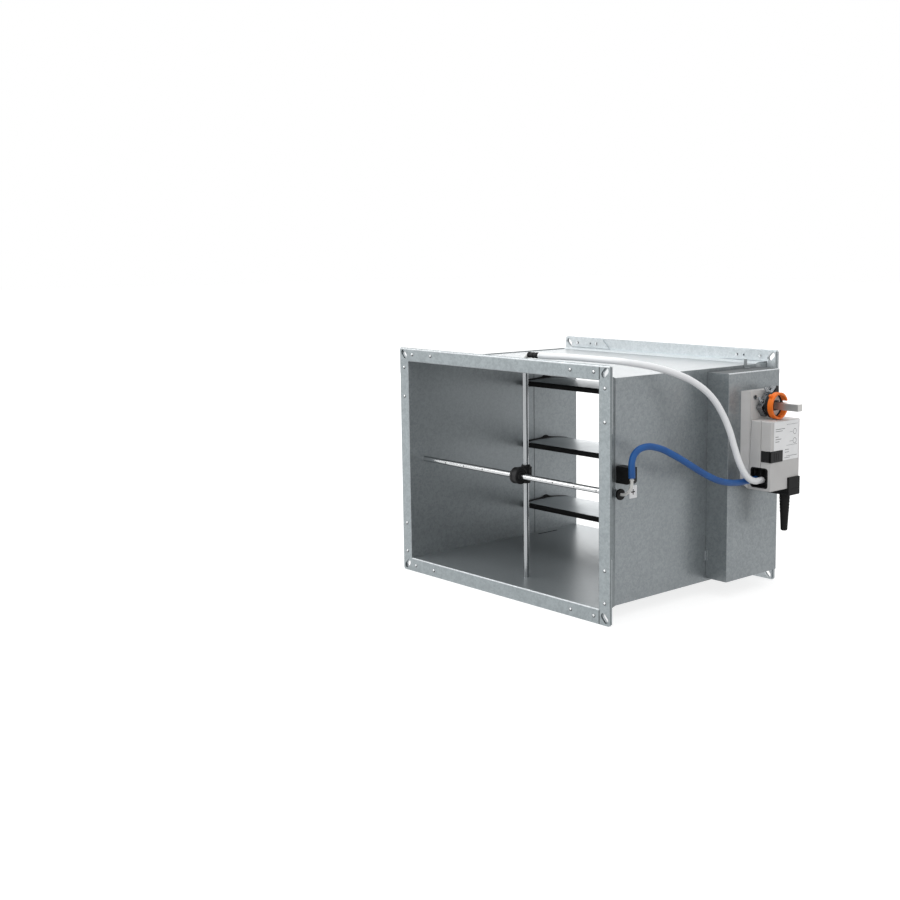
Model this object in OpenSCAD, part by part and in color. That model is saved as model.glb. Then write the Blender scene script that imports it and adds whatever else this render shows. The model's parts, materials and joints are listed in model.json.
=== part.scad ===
// Rectangular duct damper with a measuring cross, three linked blades and an
// actuator on its side. The origin is the middle of the inlet opening, in the
// face of the inlet flange. X runs across the duct, Y with the air and Z up.

/* [Duct] */
// Clear width of the duct
duct_w = 400; // [360:5:480]
// Clear height of the duct
duct_h = 300; // [291:3:345]
// Length from flange face to flange face
duct_l = 350; // [320:5:450]
// Thickness of the casing's sheet
sheet_t = 1; // [0.8:0.1:1.4]

/* [Flanges] */
// Width of the flange outside the duct
web_w = 19; // [18.6:0.2:24]
// Depth of the hollow web
web_t = 3.2; // [2.6:0.2:4.2]
// Sheet thickness of the rolled profile
profile_sheet_t = 0.8; // [0.6:0.1:1]
// Length of the leg that laps the duct
leg_l = 29; // [27:0.5:29.5]
// Height of the leg above the duct's sheet
leg_t = 2; // [1.2:0.1:2]
// Length of the leg's sloping end
leg_slope = 5; // [2:0.5:8]
// Radius of the flange's outer corners
flange_corner_r = 3.5; // [1:0.5:5]
// Width of a corner slot
slot_w = 8.5; // [6.5:0.5:9]
// Full length of a corner slot
slot_l = 15; // [11:0.5:16]

/* [Corner plates] */
// Thickness of a corner plate
plate_t = 2.8; // [2:0.2:4]
// Length of an arm along its outer edge
plate_arm_l = 87; // [82:1:120]
// Width of an arm
plate_arm_w = 15; // [13:0.5:15.2]
// Distance from the flange's edge to the plate
plate_inset = 1.5; // [1:0.1:1.7]
// Diameter of the small spare hole in each arm
spare_hole_d = 3.4; // [2:0.2:5]

/* [Rivets] */
// Diameter of a rivet's domed head
rivet_head_d = 5; // [4:0.5:7]
// Height of the domed head
rivet_head_h = 1.3; // [0.8:0.1:2]
// Diameter of the shank
rivet_d = 3; // [2.4:0.2:3.6]
// Distance of the first rivet from the flange's corner
rivet_near = 29.5; // [26:0.5:40]
// Distance of the second rivet from the flange's corner
rivet_far = 73; // [66:1:78]

/* [Measuring cross] */
// Outer diameter of the two tubes
tube_d = 8; // [6.5:0.5:8.5]
// Wall of the tubes
tube_wall = 1; // [0.6:0.1:1.2]
// Distance of the level tube from the inlet face
level_tube_y = 28.5; // [28:0.5:30]
// Distance of the upright tube from the inlet face
upright_tube_y = 47; // [45:0.5:52]
// Place of the upright tube across the duct
upright_tube_x = 8; // [0:1:20]
// Diameter of the sensing holes
sensing_hole_d = 2; // [1:0.2:3]
// Pitch of the sensing holes
sensing_pitch = 42; // [30:0.5:44]
// Diameter of the hub's cylinder
hub_d = 23; // [18:1:28]
// Length of the hub's cylinder
hub_l = 15.5; // [14:0.5:24]
// Width of the hub's arm
hub_arm_w = 11; // [10.5:0.5:16]
// Height of the hub's arm
hub_arm_h = 21; // [12:1:22]

/* [Pressure ports] */
// Outer diameter of the wall grommet
grommet_d = 15; // [13:0.5:16]
// Reach of the grommet outside the wall
grommet_reach = 12; // [10:0.5:12.5]
// Outer diameter of the bent port pipe
pipe_d = 4.8; // [4:0.2:6]
// Radius of its bend
pipe_bend_r = 18.5; // [12:0.5:18.5]
// Height of its upper end above the level tube
pipe_rise = 24; // [20:1:24]
// Reach of the port block from the wall
block_reach = 24.5; // [16:0.5:24.5]
// Height of the port block
block_h = 24; // [16:1:28]
// Depth of the port block along the duct
block_d = 14.5; // [8:0.5:18]
// Diameter of the upper elbow's body
elbow_d = 11; // [10:0.5:14]
// Height of the upper elbow's axis above the roof
elbow_rise = 18.5; // [14:0.5:18.5]
// Length of the elbow's ribbed spout
spout_l = 30; // [20:0.5:30]
// Outer diameter of both hoses
hose_d = 9; // [7:0.5:9.5]

/* [Blades] */
// Distance of the blade shafts from the outlet face
outlet_reach = 71.5; // [67:0.5:76]
// Thickness of a blade at its shaft
blade_t = 12; // [11.8:0.2:16]
// Thickness of a blade's leading edge
blade_nose_t = 7.6; // [6:0.2:9]
// Thickness of a blade's trailing edge
blade_tail_t = 3; // [2:0.2:5]
// Skin of the hollow blade
blade_skin_t = 0.8; // [0.6:0.1:0.8]
// Depth of the rubber seal on the leading edge
seal_d = 4; // [3:0.5:8]
// Thickness of a blade's end cap
cap_t = 2.6; // [1.6:0.2:4]
// Diameter of an end cap's journal
journal_d = 18; // [17:0.5:22]
// Across the flats of the square shafts
shaft_w = 10; // [8:0.5:10]
// Reach of the drive shaft's end past the cover
drive_shaft_reach = 72.5; // [60:0.5:90]

/* [Linkage] */
// Length of a crank from shaft to pin
crank_r = 38; // [30:1:38]
// Thickness of a crank
crank_t = 4; // [3:0.5:5]
// Diameter of a crank's hub
crank_hub_d = 20; // [17:0.5:24]
// Diameter of a crank pin
pin_d = 6; // [4:0.5:8]
// Thickness of the connecting rod
rod_t = 3; // [2:0.5:5]
// Width of the connecting rod
rod_w = 14; // [11:0.5:16]

/* [Linkage cover] */
// Depth of the cover
cover_d = 38; // [24:1:44]
// Reach of the cover ahead of the shafts
cover_front_reach = 65; // [50:0.5:68]
// Reach of the cover behind the shafts
cover_back_reach = 48.5; // [35:0.5:50]
// Reach of the cover past the outer shafts
cover_end_reach = 46.5; // [38:0.5:47]
// Thickness of the cover's sheet
cover_sheet_t = 1; // [0.8:0.1:2]

/* [Actuator] */
// Width of the actuator
actuator_w = 65; // [60:1:80]
// Flare of the base's sides towards the cover
base_flare = 5.5; // [0:0.5:6]
// Depth of the base at its upper end
base_top_d = 12; // [10:0.5:12.5]
// Depth of the base under the housing's upper edge
base_mid_d = 14; // [12:0.5:14.3]
// Depth of the base at its lower end
base_low_d = 10; // [8:0.5:12]
// Height of the base above the shaft
base_up = 21; // [18:0.5:24]
// Reach of the base below the shaft
base_down = 116; // [112:1:125]
// Depth of the whole actuator
actuator_d = 49; // [46:0.5:56]
// Distance from the shaft down to the housing
housing_drop = 19; // [18:0.5:19]
// Radius of the groove in the housing's upper face
groove_r = 21; // [20.5:0.5:24]
// Wall of the housing
housing_wall = 2; // [1.5:0.1:2.5]
// Travel of the release button
button_travel = 3; // [1:0.5:3.5]
// Length of the cable boot
boot_l = 53; // [30:1:70]

/* [Shaft clamp] */
// Outer diameter of the position ring
ring_d = 37.5; // [36:0.5:40.5]
// Wall of the position ring
ring_wall = 3; // [2:0.5:4]
// Depth of the position ring
ring_depth = 8; // [6:0.5:14]
// Width of the ring's gap
ring_gap = 13; // [8:0.5:18]
// Thickness of the clamp strip
strip_t = 2.5; // [1.5:0.1:2.5]
// Width of the clamp strip
strip_w = 9.5; // [6:0.5:9.5]
// Diameter of the clamp's bolt
bolt_d = 4; // [3:0.2:4.2]

/* [Hidden] */
$fn = 48;

// Overrun of every cut
cut = 1;
// Gap between pieces that are pushed together
push_gap = 0.1;
// Gap of a round piece that turns in another
run_gap = 0.05;
// Gap between pieces that move past each other
move_gap = 0.3;

// Faces and levels of the duct
blade_count = 3;
wall_x = duct_w / 2 + sheet_t;
roof_z = duct_h / 2 + sheet_t;
flange_x = wall_x + web_w;
flange_z = roof_z + web_w;
pitch = duct_h / blade_count;
pivot_y = duct_l - outlet_reach;

// Corner plates, rivets and slots
slot_inset = web_w / 2;
rivet_inset = web_w / 2;
rivet_grip = web_t + plate_t;
rivet_tail_d = 4.2;
rivet_tail_h = 1.2;
spare_hole_place = 59.5;

// Measuring cross
level_tube_z = 0;
bore_d = tube_d - 2 * tube_wall;
sensing_mid_x = 12.5;
sensing_first = 74;
upright_first = 58.5;
sensing_per_side = 3;
upright_holes = 2;
hub_arm_back = 3;
hub_collar_d = 14;
hub_collar_l = 1;
tube_screw_plug = 10;
tube_screw_head_d = 9;
tube_screw_head_h = 2.5;

// Ports on the right wall
grommet_neck_d = 11;
grommet_head_t = 3.5;
grommet_bore_d = pipe_d + 2 * push_gap;
pipe_wall = 0.8;
pipe_reach = 30.5;
block_rise = 13.5;
block_lead = 2;
label_t = 0.3;
plus_label_y = 56;
plus_label_w = 14.5;
plus_label_low = -11;
plus_label_h = 17;

// Elbow on the roof
elbow_foot_d = 17;
elbow_foot_h = 3;
elbow_run = 7;
elbow_lift = 6.5;
elbow_neck_d = 5.6;
elbow_seat = 3;
spout_d = 7.2;
spout_rib_d = 8.6;
spout_rib_w = 3.5;
spout_ribs = 3;
spout_first_rib = 8;
spout_rib_pitch = (spout_l - spout_first_rib - 2 * spout_rib_w) / (spout_ribs - 1);

// Blades and their bearings
blade_gap = 0.6;
blade_half = (pitch - blade_gap) / 2;
blade_steps = 6;
cap_gap = 0.4;
cap_x = duct_w / 2 - cap_gap;
skin_x = cap_x - cap_t;
skin_cavity_tail = 8;
bush_wall = 2;
bush_flange_w = 5;
bush_flange_d = journal_d + 2 * bush_flange_w;
bush_flange_t = 2;
journal_proud = 0.6;
journal_end = wall_x + bush_flange_t + journal_proud;
crank_x = journal_end + move_gap;
crank_hub_l = 10;
shaft_proud = 2;
plain_shaft_end = crank_x + crank_hub_l + shaft_proud;

// Linkage
crank_angle = 225;
crank_eye_d = 14;
rod_x = crank_x + crank_t + move_gap;
pin_head_w = 1.5;
pin_head_d = pin_d + 2 * pin_head_w;
pin_head_t = 1.5;
pin_x = rod_x + rod_t + move_gap;
crank_dy = crank_r * cos(crank_angle);
crank_dz = crank_r * sin(crank_angle);

// Linkage cover
cover_x = wall_x + cover_d;
cover_y0 = pivot_y - cover_front_reach;
cover_y1 = pivot_y + cover_back_reach;
cover_z = pitch + cover_end_reach;
shaft_hole_d = 16;
clip_t = 1.2;
front_clip_z = -121;
front_clip_h = 15;
front_clip_reach = 5;
front_clip_foot = 3;
top_clip_back = 14.5;
top_clip_y = pivot_y + top_clip_back;
top_clip_w = 6.5;
top_clip_foot = 13;
top_clip_reach = 7;

// Actuator
actuator_y0 = pivot_y - actuator_w / 2;
actuator_y1 = pivot_y + actuator_w / 2;
shaft_z = pitch;
base_z0 = shaft_z - base_down;
base_z1 = shaft_z + base_up;
housing_z1 = shaft_z - housing_drop;
housing_x = cover_x + actuator_d;
base_wall = 2;
base_boss_d = 24;
insert_start = 14;
insert_w = 30;
insert_rise = 3.5;
insert_h = 28.5;
insert_x0 = cover_x + insert_start;
insert_x1 = insert_x0 + insert_w;
insert_z0 = base_z0 + insert_rise;
insert_r = 4;
insert_depth = 12;
insert_floor = 3;
insert_wall = 1.6;
nozzle_d = 5;
nozzle_l = 4;
nozzle_rise = 14.5;
blue_nozzle_start = 20.5;
white_nozzle_start = 31;
nozzle_z = base_z0 + nozzle_rise;
blue_nozzle_x = cover_x + blue_nozzle_start;
white_nozzle_x = cover_x + white_nozzle_start;
button_rise = 40.5;
button_z0 = base_z0 + button_rise;
button_h = 15.5;
button_y_reach = 25.8;
button_x_reach = 16.5;
button_t = 4;
button_proud = 1;
button_slot = 5;
label_front = 6;
label_back = 3;
label_edge = 1;
label_notch_gap = 0.5;
label_y0 = actuator_y0 + label_front;
label_y1 = actuator_y1 - label_back;
label_z1 = housing_z1 - label_edge;
label_z0 = button_z0 + label_edge;
label_notch_z = button_z0 + button_h + label_notch_gap;
label_notch_y = actuator_y0 + button_y_reach + label_notch_gap;
entry_w = 27;
entry_back = 1;
entry_drop = 10;
entry_d = 38;
entry_proud = 3;
entry_rise = 16;
boot_start = 35.5;
boot_back = 14;
boot_x = cover_x + boot_start;
boot_y = actuator_y1 - boot_back;
boot_top_r = 7.5;
boot_end_r = 5;
boot_ribs = 4;
boot_rib_w = 2;
boot_rib_pitch = 6;
boot_rib_h = 0.7;
board_t = 1.6;
board_start = 37;
board_rise = 20;
board_w = 34;
board_h = 47;
board_x = cover_x + board_start;
board_z0 = base_z0 + board_rise;
gearbox_w = 38;
gearbox_h = 29;
gearbox_reach = 33;
gearbox_rise = 42;
gearbox_z0 = base_z0 + gearbox_rise;
gearbox_z1 = gearbox_z0 + gearbox_h;
gearbox_x1 = cover_x + gearbox_reach;
motor_l = 12;
sensor_start = 16;
sensor_x0 = cover_x + sensor_start;
sensor_w = 20;
sensor_h = 20;
sensor_d = 10;
base_screw_d = 6;
base_screw_inset = 9;

// Shaft clamp and position ring
strip_start = 14.5;
strip_x0 = cover_x + strip_start;
strip_x1 = strip_x0 + strip_w;
strip_angle = 42;
strip_vertex_y = -23.9;
strip_vertex_z = -2;
strip_upper_l = 43;
strip_lower_l = 18;
bolt_x = strip_x0 + strip_w / 2;
bolt_leg_r = shaft_w * sqrt(2) / 2 + bolt_d / 2 + move_gap;
bolt_leg_l = 25;
nut_w = 7;
nut_t = 3.2;
strip_out = strip_vertex_z * cos(strip_angle) - strip_vertex_y * sin(strip_angle);
disc_x = strip_x1 + move_gap;
disc_t = 3;
hub_x = disc_x + disc_t;
drive_hub_w = 13.5;
drive_hub_l = 4;
ring_collar_l = 6.4;
ring_collar_d = ring_d - 2;
ring_x = disc_x + ring_collar_l;
pointer_angle = 135;
pointer_l = 5;
pointer_w = 4;
carrier_t = 6.5;
carrier_y0 = 3;
carrier_y1 = 15;
carrier_foot_y = 9;
carrier_z0 = 8.5;
carrier_z1 = 26;
carrier_step_z = 15;
carrier_slope_z = 17.3;

// Courses of the hoses at the usual sizes, from the first end to the actuator
blue_course = [[230.0, 28.5, 24], [230.0, 28.5, 34], [229.5, 29.5, 46], [230.5, 36, 57], [234, 48, 62.5],
    [239, 68, 60], [246, 92, 48.5], [252, 118, 33], [256, 146, 17], [259, 174, 5], [260.5, 202, -0.5],
    [260, 228, -1.5], [259.5, 242, -1.5], [259.5, 251, -1.5]];
white_course = [[38, 47, 169.5], [50, 47, 169.5], [80, 47, 170.5], [110, 47, 171], [140, 47, 171],
    [168, 47, 171], [190, 50, 170.5], [206, 64, 167.5], [220, 86, 162], [232, 112, 153], [242, 140, 139],
    [249, 164, 120], [254, 180, 98], [259, 191, 73], [263, 198, 48], [267, 206, 24], [269.5, 219, 6],
    [270, 234, -1], [270, 244, -1.5], [270, 251, -1.5]];
hose_sides = 10;

// Solids between two corners, and round ones along X, Y and Z
module block(a, b) translate(a) cube(b - a);
module rod_x_axis(x0, x1, y, z, d)
    translate([x0, y, z]) rotate([0, 90, 0]) cylinder(h = x1 - x0, d = d);
module rod_y_axis(y0, y1, x, z, d)
    translate([x, y1, z]) rotate([90, 0, 0]) cylinder(h = y1 - y0, d = d);
module rod_z_axis(z0, z1, x, y, d) translate([x, y, z0]) cylinder(h = z1 - z0, d = d);

// A bar along X with a square section, turned by nothing
module square_x(x0, x1, y, z, w)
    block([x0, y - w / 2, z - w / 2], [x1, y + w / 2, z + w / 2]);

// An outline given in Y and Z, drawn out along X
module along_x(x0, x1) translate([x0, 0, 0]) rotate([90, 0, 90]) linear_extrude(x1 - x0) children();

// An outline given in X and Z, drawn out along Y
module along_y(y0, y1) translate([0, y1, 0]) rotate([90, 0, 0]) linear_extrude(y1 - y0) children();

// The same piece on the outlet, on the left and on the bottom
module at_outlet() translate([0, duct_l, 0]) mirror([0, 1, 0]) children();
module at_left() mirror([1, 0, 0]) children();
module at_bottom() mirror([0, 0, 1]) children();
module at_four_corners()
    for (side = [0, 1], level = [0, 1]) mirror([side, 0, 0]) mirror([0, 0, level]) children();

// Casing with the holes for bushes, ports and screws
module duct_casing() color("lightsteelblue")
    difference() {
        block([-wall_x, 0, -roof_z], [wall_x, duct_l, roof_z]);
        block([-duct_w / 2, -cut, -duct_h / 2], [duct_w / 2, duct_l + cut, duct_h / 2]);
        for (k = [-1:1])
            rod_x_axis(-wall_x - cut, wall_x + cut, pivot_y, k * pitch, journal_d + 2 * bush_wall);
        rod_x_axis(duct_w / 2 - cut, wall_x + cut, level_tube_y, level_tube_z, grommet_neck_d);
        rod_x_axis(-wall_x - cut, -duct_w / 2 + cut, level_tube_y, level_tube_z, bore_d);
        rod_z_axis(duct_h / 2 - cut, roof_z + cut, upright_tube_x, upright_tube_y, tube_d + 2 * push_gap);
        rod_z_axis(-roof_z - cut, -duct_h / 2 + cut, upright_tube_x, upright_tube_y, bore_d);
    }

// Section of a flange profile: outwards from the duct, and back from the face
profile_outline = [[0, 0], [web_w, 0], [web_w, web_t], [leg_t, web_t], [leg_t, leg_l - leg_slope],
    [profile_sheet_t / 2, leg_l], [0, leg_l]];
module profile_section(with_leg)
    difference() {
        polygon(with_leg ? profile_outline : [for (i = [0:2]) profile_outline[i], [0, web_t]]);
        translate([leg_t, profile_sheet_t])
            square([web_w - leg_t - profile_sheet_t, web_t - 2 * profile_sheet_t]);
    }

// Rivet places on one corner of the upper and of the right profile
top_rivets = [for (d = [rivet_near, rivet_far]) [flange_x - d, flange_z - rivet_inset]];
side_rivets = [for (d = [rivet_near, rivet_far]) [flange_x - rivet_inset, flange_z - d]];
module rivet_holes(places)
    for (p = places) rod_y_axis(-cut, rivet_grip + cut, p[0], p[1], rivet_d + 2 * push_gap);

// Slot that points at the flange's corner
module corner_slot()
    translate([flange_x - slot_inset, 0, flange_z - slot_inset]) rotate([0, -45, 0]) {
        block([(slot_w - slot_l) / 2, -cut, -slot_w / 2],
            [(slot_l - slot_w) / 2, rivet_grip + cut, slot_w / 2]);
        for (side = [-1, 1]) rod_y_axis(-cut, rivet_grip + cut, side * (slot_l - slot_w) / 2, 0, slot_w);
    }

// What the rounding takes off the flange's corner
module corner_waste()
    difference() {
        block([flange_x - flange_corner_r, -cut, flange_z - flange_corner_r],
            [flange_x + cut, rivet_grip + cut, flange_z + cut]);
        rod_y_axis(-2 * cut, rivet_grip + 2 * cut, flange_x - flange_corner_r,
            flange_z - flange_corner_r, 2 * flange_corner_r);
    }

// Upper and lower profiles fit between the two side profiles
module level_profile() color("silver")
    difference() {
        translate([-wall_x, 0, roof_z]) rotate([90, 0, 90]) linear_extrude(2 * wall_x)
            mirror([1, -1]) profile_section(true);
        for (side = [0, 1]) mirror([side, 0, 0]) rivet_holes(top_rivets);
    }

// Side profiles run from corner to corner and carry the slots
module side_profile() color("silver")
    difference() {
        union() {
            translate([wall_x, 0, -roof_z]) linear_extrude(2 * roof_z) profile_section(true);
            for (level = [0, 1]) mirror([0, 0, level])
                translate([wall_x, 0, roof_z]) linear_extrude(web_w) profile_section(false);
        }
        for (level = [0, 1]) mirror([0, 0, level]) {
            rivet_holes(side_rivets);
            corner_slot();
            corner_waste();
        }
    }
module notched_side_profile(notch_d) color("silver")
    difference() {
        side_profile();
        rod_x_axis(wall_x - cut, wall_x + leg_t + cut, level_tube_y, level_tube_z, notch_d + 2 * push_gap);
    }

module inlet_top_profile() level_profile();
module inlet_bottom_profile() at_bottom() level_profile();
module inlet_left_profile() at_left() notched_side_profile(tube_screw_head_d);
module inlet_right_profile() notched_side_profile(grommet_neck_d);
module outlet_top_profile() at_outlet() level_profile();
module outlet_bottom_profile() at_outlet() at_bottom() level_profile();
module outlet_left_profile() at_outlet() at_left() side_profile();
module outlet_right_profile() at_outlet() side_profile();

// One corner plate with its slot, rivet holes and spare holes
plate_in = plate_inset + plate_arm_w;
plate_tip = plate_arm_l + plate_arm_w;
plate_outline = [[plate_inset, plate_inset], [plate_arm_l, plate_inset], [plate_tip, plate_in],
    [plate_in, plate_in], [plate_in, plate_tip], [plate_inset, plate_arm_l]];
module corner_plate()
    difference() {
        along_y(web_t, web_t + plate_t)
            polygon([for (p = plate_outline) [flange_x - p[0], flange_z - p[1]]]);
        rivet_holes(top_rivets);
        rivet_holes(side_rivets);
        rod_y_axis(-cut, rivet_grip + cut, flange_x - spare_hole_place, flange_z - rivet_inset,
            spare_hole_d);
        rod_y_axis(-cut, rivet_grip + cut, flange_x - rivet_inset, flange_z - spare_hole_place,
            spare_hole_d);
        corner_slot();
        corner_waste();
    }
module corner_plates() color("lightgray") {
    at_four_corners() corner_plate();
    at_outlet() at_four_corners() corner_plate();
}

// Domed rivet through the web and the plate
module rivet()
    rotate([90, 0, 0]) rotate_extrude($fn = 24) polygon(concat(
        [[0, -rivet_grip - rivet_tail_h], [rivet_tail_d / 2, -rivet_grip - rivet_tail_h],
            [rivet_tail_d / 2, -rivet_grip], [rivet_d / 2, -rivet_grip], [rivet_d / 2, 0]],
        [for (a = [0:15:90]) [rivet_head_d / 2 * cos(a), rivet_head_h * sin(a)]]));
module corner_rivets() for (p = concat(top_rivets, side_rivets)) translate([p[0], 0, p[1]]) rivet();
module flange_rivets() color("gainsboro") {
    at_four_corners() corner_rivets();
    at_outlet() at_four_corners() corner_rivets();
}

// Level tube, with its sensing holes facing the air
level_tube_end = wall_x + grommet_reach / 2;
module level_tube() color("whitesmoke")
    difference() {
        rod_x_axis(-duct_w / 2, level_tube_end, level_tube_y, level_tube_z, tube_d);
        rod_x_axis(-duct_w / 2 - cut, level_tube_end + cut, level_tube_y, level_tube_z, bore_d);
        for (side = [-1, 1], k = [0:sensing_per_side - 1])
            rod_y_axis(level_tube_y - tube_d, level_tube_y,
                sensing_mid_x + side * (sensing_first + k * sensing_pitch), level_tube_z, sensing_hole_d);
    }

// Upright tube, with its sensing holes facing away from the air
elbow_z = roof_z + elbow_rise;
elbow_top = elbow_z - elbow_lift;
upright_tube_end = elbow_top - elbow_seat;
module upright_tube() color("whitesmoke")
    difference() {
        rod_z_axis(-duct_h / 2, upright_tube_end, upright_tube_x, upright_tube_y, tube_d);
        rod_z_axis(-duct_h / 2 - cut, upright_tube_end + cut, upright_tube_x, upright_tube_y, bore_d);
        for (side = [-1, 1], k = [0:upright_holes - 1])
            rod_y_axis(upright_tube_y, upright_tube_y + tube_d, upright_tube_x,
                side * (upright_first + k * sensing_pitch), sensing_hole_d);
    }

// Hub that holds the two tubes one behind the other
module cross_hub() color("dimgray")
    difference() {
        union() {
            rod_x_axis(sensing_mid_x - hub_l / 2, sensing_mid_x + hub_l / 2,
                level_tube_y, level_tube_z, hub_d);
            block([upright_tube_x - hub_arm_w / 2, level_tube_y, -hub_arm_h / 2],
                [upright_tube_x + hub_arm_w / 2, upright_tube_y + tube_d / 2 + hub_arm_back, hub_arm_h / 2]);
            rod_x_axis(sensing_mid_x - hub_l / 2 - hub_collar_l, sensing_mid_x + hub_l / 2 + hub_collar_l,
                level_tube_y, level_tube_z, hub_collar_d);
        }
        rod_x_axis(-duct_w / 2, duct_w / 2, level_tube_y, level_tube_z, tube_d + 2 * push_gap);
        rod_z_axis(-duct_h / 2, duct_h / 2, upright_tube_x, upright_tube_y, tube_d + 2 * push_gap);
    }

// Screws that plug the tubes' far ends and hold them to the casing
module tube_screw()
    rotate_extrude($fn = 24) polygon([[0, 0], [bore_d / 2 - push_gap, 0],
        [bore_d / 2 - push_gap, tube_screw_plug + sheet_t],
        [tube_screw_head_d / 2, tube_screw_plug + sheet_t],
        [tube_screw_head_d / 2, tube_screw_plug + sheet_t + tube_screw_head_h / 2],
        [tube_screw_head_d / 4, tube_screw_plug + sheet_t + tube_screw_head_h],
        [0, tube_screw_plug + sheet_t + tube_screw_head_h]]);
module tube_end_screws() color("lightgray") {
    translate([tube_screw_plug - duct_w / 2, level_tube_y, level_tube_z])
        rotate([0, -90, 0]) tube_screw();
    translate([upright_tube_x, upright_tube_y, tube_screw_plug - duct_h / 2])
        rotate([180, 0, 0]) tube_screw();
}

// Grommet that seals the level tube in the wall and takes the port pipe
module wall_grommet() color("dimgray")
    translate([wall_x, level_tube_y, level_tube_z]) rotate([0, 90, 0]) difference() {
        union() {
            translate([0, 0, -sheet_t]) cylinder(h = sheet_t, d = grommet_neck_d - push_gap);
            cylinder(h = grommet_reach, d = grommet_neck_d);
            translate([0, 0, grommet_reach - grommet_head_t]) cylinder(h = grommet_head_t, d = grommet_d);
        }
        translate([0, 0, -sheet_t - cut])
            cylinder(h = grommet_reach / 2 + sheet_t + cut, d = tube_d + push_gap);
        cylinder(h = grommet_reach + cut, d = grommet_bore_d);
    }

// Bent pipe from the grommet up to the hose
pipe_x0 = wall_x + grommet_reach / 2 + push_gap;
pipe_x1 = wall_x + pipe_reach;
pipe_bend_x = pipe_x1 - pipe_bend_r;
module pipe_ring()
    difference() {
        circle(d = pipe_d);
        circle(d = pipe_d - 2 * pipe_wall);
    }
module port_pipe() color("beige")
    translate([0, level_tube_y, level_tube_z]) {
        translate([pipe_x0, 0, 0]) rotate([0, 90, 0]) linear_extrude(pipe_bend_x - pipe_x0) pipe_ring();
        translate([pipe_bend_x, 0, pipe_bend_r]) rotate([90, 0, 0]) rotate([0, 0, -90])
            rotate_extrude(angle = 90) translate([pipe_bend_r, 0]) pipe_ring();
        translate([pipe_x1, 0, pipe_bend_r]) linear_extrude(pipe_rise - pipe_bend_r) pipe_ring();
    }

// Block on the wall beside the hose
module port_block() color("dimgray")
    block([wall_x, level_tube_y + block_lead, block_rise],
        [wall_x + block_reach, level_tube_y + block_lead + block_d, block_rise + block_h]);

// Sticker that marks the upstream port
module plus_label() color("white")
    block([wall_x, plus_label_y, plus_label_low],
        [wall_x + label_t, plus_label_y + plus_label_w, plus_label_low + plus_label_h]);

// Elbow on the roof with a ribbed spout for the hose
module elbow_neck(d)
    translate([upright_tube_x, upright_tube_y, elbow_top]) rotate([0, atan2(elbow_run, elbow_lift), 0])
        cylinder(h = norm([elbow_run, elbow_lift]), d = d);
module roof_elbow() color("dimgray")
    difference() {
        union() {
            rod_z_axis(roof_z, roof_z + elbow_foot_h, upright_tube_x, upright_tube_y, elbow_foot_d);
            rod_z_axis(roof_z, elbow_top, upright_tube_x, upright_tube_y, elbow_d);
            elbow_neck(elbow_neck_d);
            rod_x_axis(upright_tube_x + elbow_run, upright_tube_x + spout_l,
                upright_tube_y, elbow_z, spout_d);
            for (k = [0:spout_ribs - 1])
                rod_x_axis(upright_tube_x + spout_first_rib + k * spout_rib_pitch,
                    upright_tube_x + spout_first_rib + k * spout_rib_pitch + spout_rib_w,
                    upright_tube_y, elbow_z, spout_rib_d);
        }
        rod_z_axis(roof_z - cut, upright_tube_end + push_gap, upright_tube_x, upright_tube_y,
            tube_d + 2 * push_gap);
        rod_z_axis(roof_z, elbow_top, upright_tube_x, upright_tube_y, pipe_d - 2 * pipe_wall);
        elbow_neck(pipe_d - 2 * pipe_wall);
        rod_x_axis(upright_tube_x + elbow_run, upright_tube_x + spout_l + cut, upright_tube_y, elbow_z,
            pipe_d - 2 * pipe_wall);
    }

// A course moved so that it starts and ends at these two points
function fitted(c, first, last) = [for (i = [0:len(c) - 1])
    let (t = i / (len(c) - 1)) c[i] + (1 - t) * (first - c[0]) + t * (last - c[len(c) - 1])];
hose_end_y = actuator_y0 + insert_depth - insert_floor - nozzle_l;
blue_route = fitted(blue_course, [pipe_x1, level_tube_y, level_tube_z + pipe_rise],
    [blue_nozzle_x, hose_end_y, nozzle_z]);
white_route = fitted(white_course, [upright_tube_x + spout_l, upright_tube_y, elbow_z],
    [white_nozzle_x, hose_end_y, nozzle_z]);

// A tube swept along a route, with one extra ring halfway along each stretch
function unit(v) = v / norm(v);
function route_point(r, i) = r[max(0, min(len(r) - 1, i))];
function half_point(r, i) = (9 * (r[i] + r[i + 1]) - route_point(r, i - 1) - route_point(r, i + 2)) / 16;
function smooth_route(r) = [for (i = [0:len(r) - 1], h = i < len(r) - 1 ? [0, 1] : [0])
    h == 0 ? r[i] : i == 0 || i == len(r) - 2 ? (r[i] + r[i + 1]) / 2 : half_point(r, i)];
function heading(r, i) = unit(route_point(r, i + 1) - route_point(r, i - 1));
function route_ring(r, i, side, d) =
    let (t = heading(r, i), u = unit(cross(t, side)), v = cross(t, u))
    [for (a = [0:360 / hose_sides:359]) r[i] + d / 2 * (cos(a) * u + sin(a) * v)];
module hose(route, side, d) {
    r = smooth_route(route);
    n = len(r);
    s = hose_sides;
    polyhedron(points = [for (i = [0:n - 1]) each route_ring(r, i, side, d)],
        faces = concat(
            [for (i = [0:n - 2], k = [0:s - 1], half = [0, 1])
                let (a = i * s + k, b = i * s + (k + 1) % s)
                half == 0 ? [a, b, b + s] : [a, b + s, a + s]],
            [[for (k = [0:s - 1]) s - 1 - k]], [[for (k = [0:s - 1]) (n - 1) * s + k]]));
}
module blue_hose() color("royalblue") hose(blue_route, [1, 0, 0], hose_d);
module white_hose() color("white") hose(white_route, [1, -1, 0], hose_d);

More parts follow.
